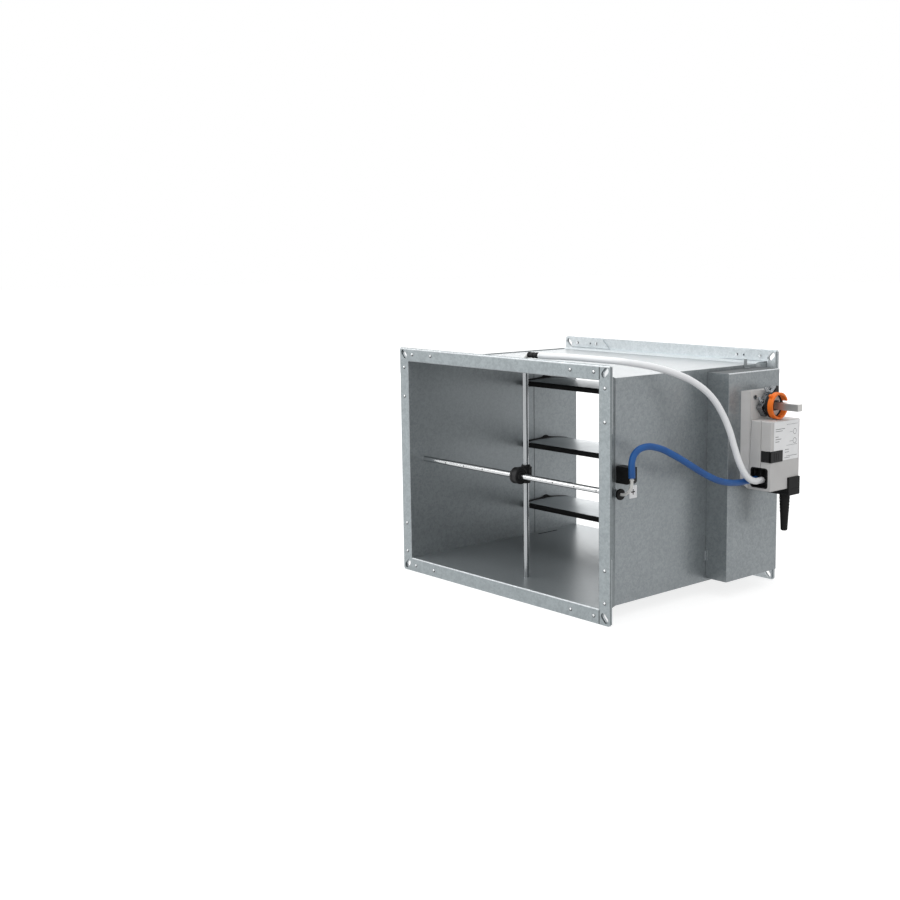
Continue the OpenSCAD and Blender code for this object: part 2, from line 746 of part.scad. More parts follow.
// Bushes in both walls that carry the end caps' journals
module wall_bush()
    translate([duct_w / 2, pivot_y, 0]) rotate([0, 90, 0]) difference() {
        union() {
            cylinder(h = sheet_t, d = journal_d + 2 * bush_wall - 2 * run_gap);
            translate([0, 0, sheet_t]) cylinder(h = bush_flange_t, d = bush_flange_d);
        }
        translate([0, 0, -cut]) cylinder(h = sheet_t + bush_flange_t + 2 * cut, d = journal_d + 2 * run_gap);
    }
module wall_bushes() color("dimgray")
    for (side = [0, 1], k = [-1:1]) mirror([side, 0, 0]) translate([0, 0, k * pitch]) wall_bush();

// Half thickness of a blade: rising from the nose to the shaft, then falling to the tail
nose_y = -blade_half;
skin_nose_y = nose_y + seal_d;
function blade_half_t(y) = y < 0
    ? (blade_nose_t + (blade_t - blade_nose_t) * sin(90 * (1 - y / nose_y))) / 2
    : (blade_tail_t + (blade_t - blade_tail_t) * cos(90 * y / blade_half)) / 2;
function blade_stations(y0, y1) = concat([for (i = [0:blade_steps]) y0 * (1 - i / blade_steps)],
    [for (i = [1:blade_steps]) y1 * i / blade_steps]);
function blade_outline(y0, y1, skin) = concat(
    [for (y = blade_stations(y0, y1)) [pivot_y + y, blade_half_t(y) - skin]],
    [for (y = [for (i = [0:2 * blade_steps]) blade_stations(y0, y1)[2 * blade_steps - i]])
        [pivot_y + y, skin - blade_half_t(y)]]);
module blade_skin() color("gainsboro")
    difference() {
        along_x(-skin_x, skin_x) polygon(blade_outline(skin_nose_y, blade_half, 0));
        along_x(-skin_x - cut, skin_x + cut)
            polygon(blade_outline(skin_nose_y + blade_skin_t, blade_half - skin_cavity_tail, blade_skin_t));
    }

// Rubber seal that fills the leading edge
nose_round_share = 0.4;
module blade_seal() color("black")
    along_x(-skin_x, skin_x) polygon([
        [pivot_y + skin_nose_y, blade_half_t(skin_nose_y)],
        [pivot_y + nose_y + seal_d * nose_round_share, blade_nose_t / 2],
        [pivot_y + nose_y, blade_nose_t / 2 * (1 - nose_round_share)],
        [pivot_y + nose_y, -blade_nose_t / 2 * (1 - nose_round_share)],
        [pivot_y + nose_y + seal_d * nose_round_share, -blade_nose_t / 2],
        [pivot_y + skin_nose_y, -blade_half_t(skin_nose_y)]]);

// End caps, each with the journal that turns in the wall's bush
module blade_cap() color("black")
    difference() {
        union() {
            along_x(skin_x, cap_x) polygon(blade_outline(nose_y, blade_half, 0));
            rod_x_axis(skin_x, journal_end, pivot_y, 0, journal_d);
        }
        square_x(skin_x - cut, journal_end + cut, pivot_y, 0, shaft_w + 2 * push_gap);
    }
module blade_caps() color("black") {
    blade_cap();
    at_left() blade_cap();
}

// Square shaft through the blade and its caps
module blade_shaft(x_end) color("silver") square_x(-journal_end, x_end, pivot_y, 0, shaft_w);

// Crank with its riveted pin
module crank() color("gray")
    translate([0, pivot_y, 0]) difference() {
        union() {
            rod_x_axis(crank_x, crank_x + crank_hub_l, 0, 0, crank_hub_d);
            rotate([crank_angle, 0, 0]) {
                block([crank_x, 0, -crank_eye_d / 2], [crank_x + crank_t, crank_r, crank_eye_d / 2]);
                rod_x_axis(crank_x, crank_x + crank_t, crank_r, 0, crank_eye_d);
                rod_x_axis(crank_x, pin_x + pin_head_t, crank_r, 0, pin_d);
                rod_x_axis(pin_x, pin_x + pin_head_t, crank_r, 0, pin_head_d);
            }
        }
        square_x(crank_x - cut, crank_x + crank_hub_l + cut, 0, 0, shaft_w + 2 * push_gap);
    }

module top_blade_skin() translate([0, 0, pitch]) blade_skin();
module top_blade_seal() translate([0, 0, pitch]) blade_seal();
module top_blade_caps() translate([0, 0, pitch]) blade_caps();
module drive_shaft() translate([0, 0, pitch]) blade_shaft(cover_x + drive_shaft_reach);
module top_crank() translate([0, 0, pitch]) crank();
module middle_blade_skin() blade_skin();
module middle_blade_seal() blade_seal();
module middle_blade_caps() blade_caps();
module middle_shaft() blade_shaft(plain_shaft_end);
module middle_crank() crank();
module bottom_blade_skin() translate([0, 0, -pitch]) blade_skin();
module bottom_blade_seal() translate([0, 0, -pitch]) blade_seal();
module bottom_blade_caps() translate([0, 0, -pitch]) blade_caps();
module bottom_shaft() translate([0, 0, -pitch]) blade_shaft(plain_shaft_end);
module bottom_crank() translate([0, 0, -pitch]) crank();

// Rod that ties the three crank pins together
module connecting_rod() color("gainsboro")
    translate([0, pivot_y + crank_dy, crank_dz]) difference() {
        union() {
            block([rod_x, -rod_w / 2, -pitch], [rod_x + rod_t, rod_w / 2, pitch]);
            for (k = [-1, 1]) rod_x_axis(rod_x, rod_x + rod_t, 0, k * pitch, rod_w);
        }
        for (k = [-1:1]) rod_x_axis(rod_x - cut, rod_x + rod_t + cut, 0, k * pitch, pin_d + 2 * run_gap);
    }

// Cover over the linkage, open towards the casing
module linkage_cover() color("lightsteelblue")
    difference() {
        block([wall_x, cover_y0, -cover_z], [cover_x, cover_y1, cover_z]);
        block([wall_x - cut, cover_y0 + cover_sheet_t, cover_sheet_t - cover_z],
            [cover_x - cover_sheet_t, cover_y1 - cover_sheet_t, cover_z - cover_sheet_t]);
        rod_x_axis(cover_x - cover_sheet_t - cut, cover_x + cut, pivot_y, pitch, shaft_hole_d);
        block([wall_x - cut, duct_l - leg_l - push_gap, -cover_z - cut],
            [wall_x + leg_t + push_gap, cover_y1 + cut, cover_z + cut]);
    }

// Clips that hold the cover to the casing
module cover_clips() color("dimgray") {
    block([wall_x, cover_y0 - clip_t, front_clip_z],
        [wall_x + front_clip_reach, cover_y0, front_clip_z + front_clip_h]);
    block([wall_x, cover_y0 - front_clip_foot, front_clip_z],
        [wall_x + clip_t, cover_y0, front_clip_z + front_clip_h]);
    for (level = [0, 1]) mirror([0, 0, level]) {
        block([wall_x, top_clip_y, cover_z],
            [wall_x + top_clip_reach, top_clip_y + top_clip_w, cover_z + clip_t]);
        block([wall_x, top_clip_y, cover_z],
            [wall_x + clip_t, top_clip_y + top_clip_w, cover_z + top_clip_foot]);
    }
}

// Depth of the base at a level, from its sloping front
function base_depth(z) = z > housing_z1
    ? base_mid_d + (base_top_d - base_mid_d) * (z - housing_z1) / (base_z1 - housing_z1)
    : base_low_d + (base_mid_d - base_low_d) * (z - base_z0) / (housing_z1 - base_z0);

// Outline of the base seen from above, with sides that flare towards the cover
module base_plan(inset)
    translate([0, 0, base_z0 - cut]) linear_extrude(base_z1 - base_z0 + 2 * cut)
        polygon([[cover_x - cut, actuator_y0 - base_flare + inset],
            [cover_x + base_low_d, actuator_y0 + inset], [housing_x, actuator_y0 + inset],
            [housing_x, actuator_y1 - inset], [cover_x + base_low_d, actuator_y1 - inset],
            [cover_x - cut, actuator_y1 + base_flare - inset]]);

// Base of the actuator: a tray that lies on the cover, with a boss round the shaft
module actuator_base() color("darkgray")
    difference() {
        union() {
            difference() {
                intersection() {
                    base_plan(0);
                    along_y(actuator_y0 - base_flare - cut, actuator_y1 + base_flare + cut)
                        polygon([[cover_x, base_z0], [cover_x + base_low_d, base_z0],
                            [cover_x + base_mid_d, housing_z1], [cover_x + base_top_d, base_z1],
                            [cover_x, base_z1]]);
                }
                intersection() {
                    base_plan(base_wall);
                    along_y(actuator_y0 - base_flare - cut, actuator_y1 + base_flare + cut)
                        polygon([[cover_x - cut, base_z0 + base_wall],
                            [cover_x + base_low_d - base_wall, base_z0 + base_wall],
                            [cover_x + base_mid_d - base_wall, housing_z1],
                            [cover_x + base_top_d - base_wall, base_z1 - base_wall],
                            [cover_x - cut, base_z1 - base_wall]]);
                }
            }
            rod_x_axis(cover_x, cover_x + base_top_d, pivot_y, shaft_z, base_boss_d);
        }
        rod_x_axis(cover_x - cut, cover_x + base_mid_d + cut, pivot_y, shaft_z, shaft_hole_d);
        for (side = [-1, 1]) base_screw(side, cut, base_screw_d + 2 * push_gap);
    }

// Pocket for the port insert, with round corners
module insert_solid(x0, x1, z0, z1, y0, y1, r) {
    block([x0 + r, y0, z0], [x1 - r, y1, z1]);
    block([x0, y0, z0 + r], [x1, y1, z1 - r]);
    for (x = [x0 + r, x1 - r], z = [z0 + r, z1 - r]) rod_y_axis(y0, y1, x, z, 2 * r);
}

// Housing of the actuator, open towards the base
module actuator_housing() color("darkgray")
    difference() {
        along_y(actuator_y0, actuator_y1)
            polygon([[cover_x + base_low_d, base_z0], [housing_x, base_z0], [housing_x, housing_z1],
                [cover_x + base_mid_d, housing_z1]]);
        along_y(actuator_y0 + housing_wall, actuator_y1 - housing_wall)
            polygon([[cover_x + base_low_d - cut, base_z0 + housing_wall],
                [housing_x - housing_wall, base_z0 + housing_wall],
                [housing_x - housing_wall, shaft_z - groove_r - housing_wall],
                [cover_x + base_mid_d - cut, shaft_z - groove_r - housing_wall]]);
        rod_x_axis(cover_x, housing_x + cut, pivot_y, shaft_z, 2 * groove_r);
        insert_solid(insert_x0, insert_x1, insert_z0, insert_z0 + insert_h, actuator_y0 - cut,
            actuator_y0 + insert_depth, insert_r);
        block([housing_x - button_slot - button_travel - move_gap, actuator_y0 - cut, button_z0 - move_gap],
            [housing_x + cut, actuator_y0 + button_y_reach + move_gap, button_z0 + button_h + move_gap]);
        block([cover_x + entry_back + base_low_d, actuator_y1 - entry_w - push_gap, base_z0 - cut],
            [housing_x + cut, actuator_y1 + cut, base_z0 + entry_rise]);
    }

// Port insert with its two nozzles
module port_insert() color("dimgray") {
    difference() {
        insert_solid(insert_x0 + push_gap, insert_x1 - push_gap, insert_z0 + push_gap,
            insert_z0 + insert_h - push_gap, actuator_y0, actuator_y0 + insert_depth, insert_r - push_gap);
        insert_solid(insert_x0 + insert_wall, insert_x1 - insert_wall, insert_z0 + insert_wall,
            insert_z0 + insert_h - insert_wall, actuator_y0 - cut, actuator_y0 + insert_depth - insert_floor,
            insert_r - insert_wall);
    }
    for (x = [blue_nozzle_x, white_nozzle_x])
        rod_y_axis(hose_end_y, hose_end_y + nozzle_l, x, nozzle_z, nozzle_d);
}

// Button that frees the gears, pushed in from the side
module release_button() color("black") {
    block([housing_x + button_proud - button_t, actuator_y0 - button_proud, button_z0],
        [housing_x + button_proud, actuator_y0 + button_y_reach, button_z0 + button_h]);
    block([housing_x - button_x_reach, actuator_y0 - button_proud, button_z0],
        [housing_x + button_proud, actuator_y0 - push_gap, button_z0 + button_h]);
}

// Plain label on the housing
module actuator_label() color("white")
    along_x(housing_x, housing_x + label_t)
        polygon([[label_y0, label_notch_z], [label_notch_y, label_notch_z], [label_notch_y, label_z0],
            [label_y1, label_z0], [label_y1, label_z1], [label_y0, label_z1]]);

// Cable entry in the housing's lower corner
module cable_entry() color("gray") {
    block([housing_x + entry_proud - entry_d, actuator_y1 - entry_w, base_z0 - entry_drop],
        [housing_x + entry_proud, actuator_y1 - entry_back, base_z0]);
    block([housing_x + push_gap - housing_wall, actuator_y1 - entry_w, base_z0],
        [housing_x + entry_proud, actuator_y1 - entry_back, base_z0 + entry_rise - push_gap]);
}

// Tapered cable boot with its ribs
boot_z1 = base_z0 - entry_drop;
module cable_boot() color("black")
    translate([boot_x, boot_y, boot_z1 - boot_l]) rotate_extrude() polygon(concat(
        [[0, 0], [boot_end_r - boot_rib_h, 0], [boot_end_r, boot_rib_h]],
        [for (k = [0:boot_ribs - 1], p = [0:3])
            let (z = boot_l - (boot_ribs - k) * boot_rib_pitch + (p > 1 ? boot_rib_w : 0),
                r = boot_end_r + (boot_top_r - boot_end_r) * z / boot_l)
            [p == 0 || p == 3 ? r : r + boot_rib_h, z]],
        [[boot_top_r, boot_l], [0, boot_l]]));

// Motor with its gearbox, seated on the base
module motor_gearbox() color("slategray") {
    along_y(pivot_y - gearbox_w / 2, pivot_y + gearbox_w / 2)
        polygon([[cover_x + base_depth(gearbox_z0) + push_gap, gearbox_z0], [gearbox_x1, gearbox_z0],
            [gearbox_x1, gearbox_z1], [cover_x + base_depth(gearbox_z1) + push_gap, gearbox_z1]]);
    rod_z_axis(gearbox_z0 - motor_l, gearbox_z1, (cover_x + base_mid_d + gearbox_x1) / 2,
        pivot_y + gearbox_w / 4, gearbox_x1 - cover_x - base_mid_d - 2 * push_gap);
}

// Circuit board, held by the housing's side wall
module circuit_board() color("seagreen")
    block([board_x, actuator_y1 - housing_wall - push_gap - board_w, board_z0],
        [board_x + board_t, actuator_y1 - housing_wall - push_gap, board_z0 + board_h]);

// Pressure sensor behind the nozzles
module pressure_sensor() color("slategray")
    block([sensor_x0, actuator_y0 + insert_depth + push_gap, nozzle_z - sensor_h / 2],
        [sensor_x0 + sensor_w, actuator_y0 + insert_depth + push_gap + sensor_d, nozzle_z + sensor_h / 2]);

// Screws that hold the base to the cover
module base_screw(side, overrun, d)
    rod_x_axis(cover_x - overrun, cover_x + base_mid_d + overrun,
        pivot_y + side * (actuator_w / 2 - base_screw_inset), base_z1 - base_screw_inset, d);
module base_screws() color("lightgray") for (side = [-1, 1]) base_screw(side, 0, base_screw_d);

// Position ring with its gap and its pointer
module position_ring() color("darkorange")
    translate([0, pivot_y, shaft_z]) {
        difference() {
            union() {
                rod_x_axis(disc_x, ring_x + ring_depth / 2, 0, 0, ring_collar_d);
                rod_x_axis(ring_x, ring_x + ring_depth, 0, 0, ring_d);
            }
            rod_x_axis(disc_x - cut, ring_x + ring_depth + cut, 0, 0, ring_d - 2 * ring_wall);
            block([disc_x - cut, 0, -ring_gap / 2], [ring_x + ring_depth + cut, ring_d, ring_gap / 2]);
        }
        rotate([pointer_angle, 0, 0])
            block([ring_x, (ring_d - ring_wall) / 2, -pointer_w / 2],
                [ring_x + ring_depth / 2, ring_d / 2 + pointer_l - ring_wall / 2, pointer_w / 2]);
    }

// Disc inside the ring, pushed on the shaft
module ring_disc() color("lightgray")
    difference() {
        rod_x_axis(disc_x, disc_x + disc_t, pivot_y, shaft_z, ring_d - 2 * ring_wall - push_gap);
        square_x(disc_x - cut, disc_x + disc_t + cut, pivot_y, shaft_z, shaft_w + 2 * push_gap);
    }

// Black hub on the disc, and the carrier arm behind it
module drive_hub() color("black") {
    difference() {
        square_x(hub_x, hub_x + drive_hub_l, pivot_y, shaft_z, drive_hub_w);
        square_x(hub_x - cut, hub_x + drive_hub_l + cut, pivot_y, shaft_z, shaft_w + 2 * push_gap);
    }
    translate([0, pivot_y, shaft_z]) along_x(disc_x - carrier_t, disc_x)
        polygon([[carrier_y0, carrier_step_z], [carrier_foot_y, carrier_z0], [carrier_y1, carrier_z0],
            [carrier_y1, carrier_z1], [carrier_y0, carrier_slope_z]]);
}

// Bent strip that presses on the shaft, with two holes for the bolt
module clamp_strip() color("silver")
    translate([0, pivot_y, shaft_z]) difference() {
        union() {
            translate([0, strip_vertex_y, strip_vertex_z]) rotate([strip_angle, 0, 0])
                block([strip_x0, 0, -strip_t], [strip_x1, strip_upper_l, 0]);
            translate([0, strip_vertex_y, strip_vertex_z]) rotate([strip_angle - 90, 0, 0])
                block([strip_x0, 0, 0], [strip_x1, strip_lower_l, strip_t]);
        }
        rotate([strip_angle, 0, 0]) for (side = [-1, 1])
            rod_z_axis(0, strip_out + cut, bolt_x, side * bolt_leg_r, bolt_d + 2 * push_gap);
    }

// Bolt bent round the shaft
module clamp_bolt() color("silver")
    translate([bolt_x, pivot_y, shaft_z]) rotate([strip_angle, 0, 0]) {
        rotate([0, 90, 0]) rotate([0, 0, -90]) rotate_extrude(angle = 180)
            translate([bolt_leg_r, 0]) circle(d = bolt_d, $fn = 24);
        for (side = [-1, 1]) rod_z_axis(0, bolt_leg_l, 0, side * bolt_leg_r, bolt_d);
    }

// Nuts on the bolt's two legs
module clamp_nuts() color("gainsboro")
    translate([bolt_x, pivot_y, shaft_z]) rotate([strip_angle, 0, 0]) for (side = [-1, 1])
        translate([0, side * bolt_leg_r, strip_out]) difference() {
            cylinder(h = nut_t, d = nut_w / cos(30), $fn = 6);
            translate([0, 0, -cut]) cylinder(h = nut_t + 2 * cut, d = bolt_d + 2 * run_gap, $fn = 24);
        }

duct_casing();
inlet_top_profile();
inlet_bottom_profile();
inlet_left_profile();
inlet_right_profile();
outlet_top_profile();
outlet_bottom_profile();
outlet_left_profile();
outlet_right_profile();
corner_plates();
flange_rivets();
level_tube();
upright_tube();
cross_hub();
tube_end_screws();
wall_grommet();
port_pipe();
port_block();
plus_label();
roof_elbow();
blue_hose();
white_hose();
wall_bushes();
top_blade_skin();
top_blade_seal();
top_blade_caps();
drive_shaft();
top_crank();
middle_blade_skin();
middle_blade_seal();
middle_blade_caps();
middle_shaft();
middle_crank();
bottom_blade_skin();
bottom_blade_seal();
bottom_blade_caps();
bottom_shaft();
bottom_crank();
connecting_rod();
linkage_cover();
cover_clips();
actuator_base();
actuator_housing();
port_insert();
release_button();
actuator_label();
cable_entry();
cable_boot();
motor_gearbox();
circuit_board();
pressure_sensor();
base_screws();
position_ring();
ring_disc();
drive_hub();
clamp_strip();
clamp_bolt();
clamp_nuts();
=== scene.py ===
"""A duct damper dressed for its photograph: galvanised casing with two flanges, measuring cross, blades,
linkage cover, actuator with its shaft clamp, and two hoses. Shapes are made in millimetres and scaled
to metres when they are finished."""

import json
from math import cos, pi, radians, sin

import bmesh
import bpy
from mathutils import Matrix, Vector

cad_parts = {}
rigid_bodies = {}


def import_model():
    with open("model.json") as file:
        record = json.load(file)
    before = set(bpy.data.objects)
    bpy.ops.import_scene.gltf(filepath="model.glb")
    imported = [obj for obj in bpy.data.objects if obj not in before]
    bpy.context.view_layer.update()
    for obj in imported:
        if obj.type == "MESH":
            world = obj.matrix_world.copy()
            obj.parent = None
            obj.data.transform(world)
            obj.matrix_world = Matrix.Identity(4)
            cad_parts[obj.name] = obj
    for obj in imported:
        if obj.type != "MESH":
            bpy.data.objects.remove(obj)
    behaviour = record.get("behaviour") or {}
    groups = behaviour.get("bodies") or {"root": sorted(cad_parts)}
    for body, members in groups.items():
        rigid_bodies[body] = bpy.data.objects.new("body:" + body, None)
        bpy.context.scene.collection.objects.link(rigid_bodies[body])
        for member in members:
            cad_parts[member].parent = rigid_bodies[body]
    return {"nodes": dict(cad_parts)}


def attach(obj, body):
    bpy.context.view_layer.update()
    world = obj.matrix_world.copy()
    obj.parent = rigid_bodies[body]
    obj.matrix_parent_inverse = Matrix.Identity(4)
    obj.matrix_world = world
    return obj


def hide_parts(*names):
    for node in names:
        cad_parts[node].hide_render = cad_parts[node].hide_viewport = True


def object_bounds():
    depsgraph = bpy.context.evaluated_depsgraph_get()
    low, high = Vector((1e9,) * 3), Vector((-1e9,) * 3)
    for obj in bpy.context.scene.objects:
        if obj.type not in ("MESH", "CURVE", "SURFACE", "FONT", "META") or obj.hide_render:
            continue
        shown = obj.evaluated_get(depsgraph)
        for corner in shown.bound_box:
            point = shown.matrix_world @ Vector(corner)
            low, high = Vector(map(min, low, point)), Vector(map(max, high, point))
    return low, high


for left_over in list(bpy.data.objects):
    bpy.data.objects.remove(left_over)
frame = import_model()
cad_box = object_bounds()
scene = bpy.context.scene
scene.view_settings.view_transform = "Standard"

# Places on the object, in millimetres, from the middle of the inlet's face.
# Duct: outer faces of the right wall, the roof and the cover, half of the clear opening, half of the flange, length
WALL_X, ROOF_Z, COVER_X = 201, 151, 239
OPEN_X, OPEN_Z, FLANGE_X, FLANGE_Z, DUCT_Y = 200, 150, 220, 170, 350
# Blades: the drive shaft's axis, the step down to the next shaft, and half of a blade's chord
SHAFT_Y, SHAFT_Z, PITCH, BLADE_HALF = 278.5, 100, 100, 49.7
# Measuring cross: the level tube, the upright tube, the middle of the drum on the level one, and the tubes' radius
TUBE_Y, UPRIGHT_X, UPRIGHT_Y, HUB_X, TUBE_RADIUS = 28.5, 8, 47, 12.5, 4
# Actuator: its two sides, and the housing's face, bottom and top with the top of the base
ACTUATOR_Y0, ACTUATOR_Y1 = 246, 311
HOUSING_X, HOUSING_Z0, HOUSING_Z1, BASE_Z1 = 288, -16, 81, 121
# Shaft clamp: the collar's back and the ring's ends along the shaft, the strip with its turn, and the bent bolt
COLLAR_X, RING_X0, RING_X1 = 263.3, 269.7, 277.7
STRIP_X0, STRIP_X1, STRIP_ANGLE = 253.5, 263, radians(42)
BOLT_X, BOLT_REACH, BOLT_RADIUS = (STRIP_X0 + STRIP_X1) / 2, 9.371, 2

HOSE_RADIUS = 0.0045    # metres
CRYSTAL_SCALE = 420.0   # zinc crystals to a metre
DROP = 0.0003           # metres from the object down to the floor


# ---------------------------------------------------------------- camera, world, floor and lamps

def place_camera():
    """The camera at the photograph's place, with its shift."""
    lens = bpy.data.cameras.new("photo_camera")
    lens.sensor_width = 36
    lens.lens = 52.168
    lens.shift_x, lens.shift_y = -0.1402, -0.0285
    lens.clip_start, lens.clip_end = 0.05, 60
    camera = bpy.data.objects.new("photo_camera", lens)
    camera.location = (1.36361, -1.17619, 0.31876)
    camera.rotation_euler = (radians(82.25), 0, radians(45.70))
    camera.rotation_euler.rotate_axis("Z", radians(-0.09))
    scene.collection.objects.link(camera)
    scene.camera = camera


def seen_directly(tree):
    """1 where the ray is a camera, glossy or transmission ray."""
    path = tree.nodes.new("ShaderNodeLightPath")
    either = tree.nodes.new("ShaderNodeMath")
    either.operation = "MAXIMUM"
    tree.links.new(path.outputs["Is Camera Ray"], either.inputs[0])
    tree.links.new(path.outputs["Is Glossy Ray"], either.inputs[1])
    any_of = tree.nodes.new("ShaderNodeMath")
    any_of.operation = "MAXIMUM"
    tree.links.new(either.outputs[0], any_of.inputs[0])
    tree.links.new(path.outputs["Is Transmission Ray"], any_of.inputs[1])
    return any_of.outputs[0]


def light_world(level):
    """White where it is seen or mirrored, and a plain grey light on everything else."""
    world = bpy.data.worlds.new("studio")
    world.use_nodes = True
    scene.world = world
    tree = world.node_tree
    strength = tree.nodes.new("ShaderNodeMapRange")
    strength.inputs["To Min"].default_value = level
    strength.inputs["To Max"].default_value = 1.0
    tree.links.new(seen_directly(tree), strength.inputs["Value"])
    back = tree.nodes["Background"]
    back.inputs["Color"].default_value = (1, 1, 1, 1)
    tree.links.new(strength.outputs["Result"], back.inputs["Strength"])


def lay_floor(z):
    """A pale floor that looks white and keeps a soft shadow."""
    shape = bmesh.new()
    bmesh.ops.create_grid(shape, x_segments=1, y_segments=1, size=14)
    bmesh.ops.translate(shape, vec=(0, 0, z), verts=shape.verts)
    mesh = bpy.data.meshes.new("floor")
    shape.to_mesh(mesh)
    shape.free()
    floor = bpy.data.objects.new("floor", mesh)
    scene.collection.objects.link(floor)
    pale = bpy.data.materials.new("pale_floor")
    pale.use_nodes = True
    tree = pale.node_tree
    shader = tree.nodes["Principled BSDF"]
    shader.inputs["Base Color"].default_value = (0.4, 0.4, 0.4, 1)
    shader.inputs["Roughness"].default_value = 1
    shader.inputs["Specular IOR Level"].default_value = 0
    shader.inputs["Emission Color"].default_value = (1, 1, 1, 1)
    glow = tree.nodes.new("ShaderNodeMath")
    glow.operation = "MULTIPLY"
    glow.inputs[1].default_value = 0.78
    tree.links.new(seen_directly(tree), glow.inputs[0])
    tree.links.new(glow.outputs[0], shader.inputs["Emission Strength"])
    mesh.materials.append(pale)


def hang_lamp(name, place, target, size, power):
    """A square soft lamp that faces the target."""
    lamp = bpy.data.lights.new(name, "AREA")
    lamp.size = size
    lamp.energy = power
    hung = bpy.data.objects.new(name, lamp)
    hung.location = place
    hung.rotation_euler = (Vector(target) - Vector(place)).to_track_quat("-Z", "Y").to_euler()
    scene.collection.objects.link(hung)


place_camera()
light_world(0.88)
lay_floor(cad_box[0].z - DROP)
hang_lamp("upper_lamp", (-0.4, -0.6, 2.6), (0, 0.15, 0), 1.8, 16)
hang_lamp("front_lamp", (-1.8, -2.0, 1.1), (0, 0.1, 0), 1.0, 14)
hang_lamp("side_lamp", (0.9, -2.2, 0.6), (0.25, 0.2, 0.05), 1.2, 3)
hang_lamp("rear_lamp", (-2.0, 2.3, 0.75), (0, 0.2, 0), 2.0, 16)


# ---------------------------------------------------------------- effects that several finishes share

def effect(name, inputs, outputs):
    """An empty effect with named numbers going in and masks coming out."""
    group = bpy.data.node_groups.new(name, "ShaderNodeTree")
    for socket in inputs:
        group.interface.new_socket(socket, in_out="INPUT", socket_type="NodeSocketFloat")
    for socket in outputs:
        group.interface.new_socket(socket, in_out="OUTPUT", socket_type="NodeSocketFloat")
    return group, group.nodes.new("NodeGroupInput"), group.nodes.new("NodeGroupOutput")


def node(tree, kind, values=None, **settings):
    """A node with its settings and socket values."""
    made = tree.nodes.new("ShaderNode" + kind)
    for key, value in settings.items():
        setattr(made, key, value)
    for key, value in (values or {}).items():
        made.inputs[key].default_value = value
    return made


def link(tree, *pairs):
    """Links from each source to its target."""
    for source, target in pairs:
        tree.links.new(source, target)


def make_spangle():
    """Zinc crystals: a tone for each crystal, a coarser cloud, and a fine grain."""
    tree, given, out = effect("zinc_spangle", ["Scale"], ["Tone", "Cloud", "Grain"])
    place = node(tree, "TexCoord")
    fine = node(tree, "TexVoronoi", voronoi_dimensions="3D")
    coarse = node(tree, "TexVoronoi", voronoi_dimensions="3D")
    share = node(tree, "Math", {1: 0.42}, operation="MULTIPLY")
    parts = [node(tree, "SeparateColor"), node(tree, "SeparateColor")]
    half = node(tree, "Math", {1: 0.6}, operation="MULTIPLY")
    rest = node(tree, "Math", {1: 0.4, 2: 0.0}, operation="MULTIPLY_ADD")
    cloud = node(tree, "TexNoise", {"Scale": 14.0, "Detail": 4.0, "Roughness": 0.55})
    grain = node(tree, "TexNoise", {"Scale": 1500.0, "Detail": 2.0})
    link(tree, (place.outputs["Object"], fine.inputs["Vector"]), (place.outputs["Object"], coarse.inputs["Vector"]),
         (place.outputs["Object"], cloud.inputs["Vector"]), (place.outputs["Object"], grain.inputs["Vector"]),
         (given.outputs["Scale"], fine.inputs["Scale"]), (given.outputs["Scale"], share.inputs[0]),
         (share.outputs[0], coarse.inputs["Scale"]),
         (fine.outputs["Color"], parts[0].inputs[0]), (coarse.outputs["Color"], parts[1].inputs[0]),
         (parts[0].outputs[0], half.inputs[0]), (parts[1].outputs[0], rest.inputs[0]),
         (half.outputs[0], rest.inputs[2]), (rest.outputs[0], out.inputs["Tone"]),
         (cloud.outputs[0], out.inputs["Cloud"]), (grain.outputs[0], out.inputs["Grain"]))
    return tree


def make_moulding():
    """Moulded plastic: a fine spark-eroded texture and a slow change of shade."""
    tree, given, out = effect("moulded_texture", ["Scale"], ["Height", "Shade"])
    place = node(tree, "TexCoord")
    texture = node(tree, "TexNoise", {"Detail": 3.0, "Roughness": 0.6})
    shade = node(tree, "TexNoise", {"Scale": 45.0, "Detail": 5.0})
    link(tree, (place.outputs["Object"], texture.inputs["Vector"]),
         (place.outputs["Object"], shade.inputs["Vector"]), (given.outputs["Scale"], texture.inputs["Scale"]),
         (texture.outputs[0], out.inputs["Height"]), (shade.outputs[0], out.inputs["Shade"]))
    return tree


def make_drawn_lines():
    """Lines that drawing or rolling leaves along a bar; the three inputs are the scales along X, Y and Z."""
    tree, given, out = effect("drawn_lines", ["Along X", "Along Y", "Along Z"], ["Lines", "Haze"])
    place = node(tree, "TexCoord")
    scales = node(tree, "CombineXYZ")
    stretched = node(tree, "VectorMath", operation="MULTIPLY")
    lines = node(tree, "TexNoise", {"Scale": 1.0, "Detail": 3.0, "Roughness": 0.7})
    haze = node(tree, "TexNoise", {"Scale": 60.0, "Detail": 3.0})
    link(tree, (given.outputs["Along X"], scales.inputs[0]), (given.outputs["Along Y"], scales.inputs[1]),
         (given.outputs["Along Z"], scales.inputs[2]), (place.outputs["Object"], stretched.inputs[0]),
         (scales.outputs[0], stretched.inputs[1]), (stretched.outputs[0], lines.inputs["Vector"]),
         (place.outputs["Object"], haze.inputs["Vector"]), (lines.outputs[0], out.inputs["Lines"]),
         (haze.outputs[0], out.inputs["Haze"]))
    return tree


spangle, moulding, drawn_lines = make_spangle(), make_moulding(), make_drawn_lines()


# ---------------------------------------------------------------- finishes, one for each material slot

def place_effect(tree, group, **values):
    """An effect placed in a finish with its own values."""
    placed = tree.nodes.new("ShaderNodeGroup")
    placed.node_tree = group
    for key, value in values.items():
        placed.inputs[key.replace("_", " ")].default_value = value
    return placed


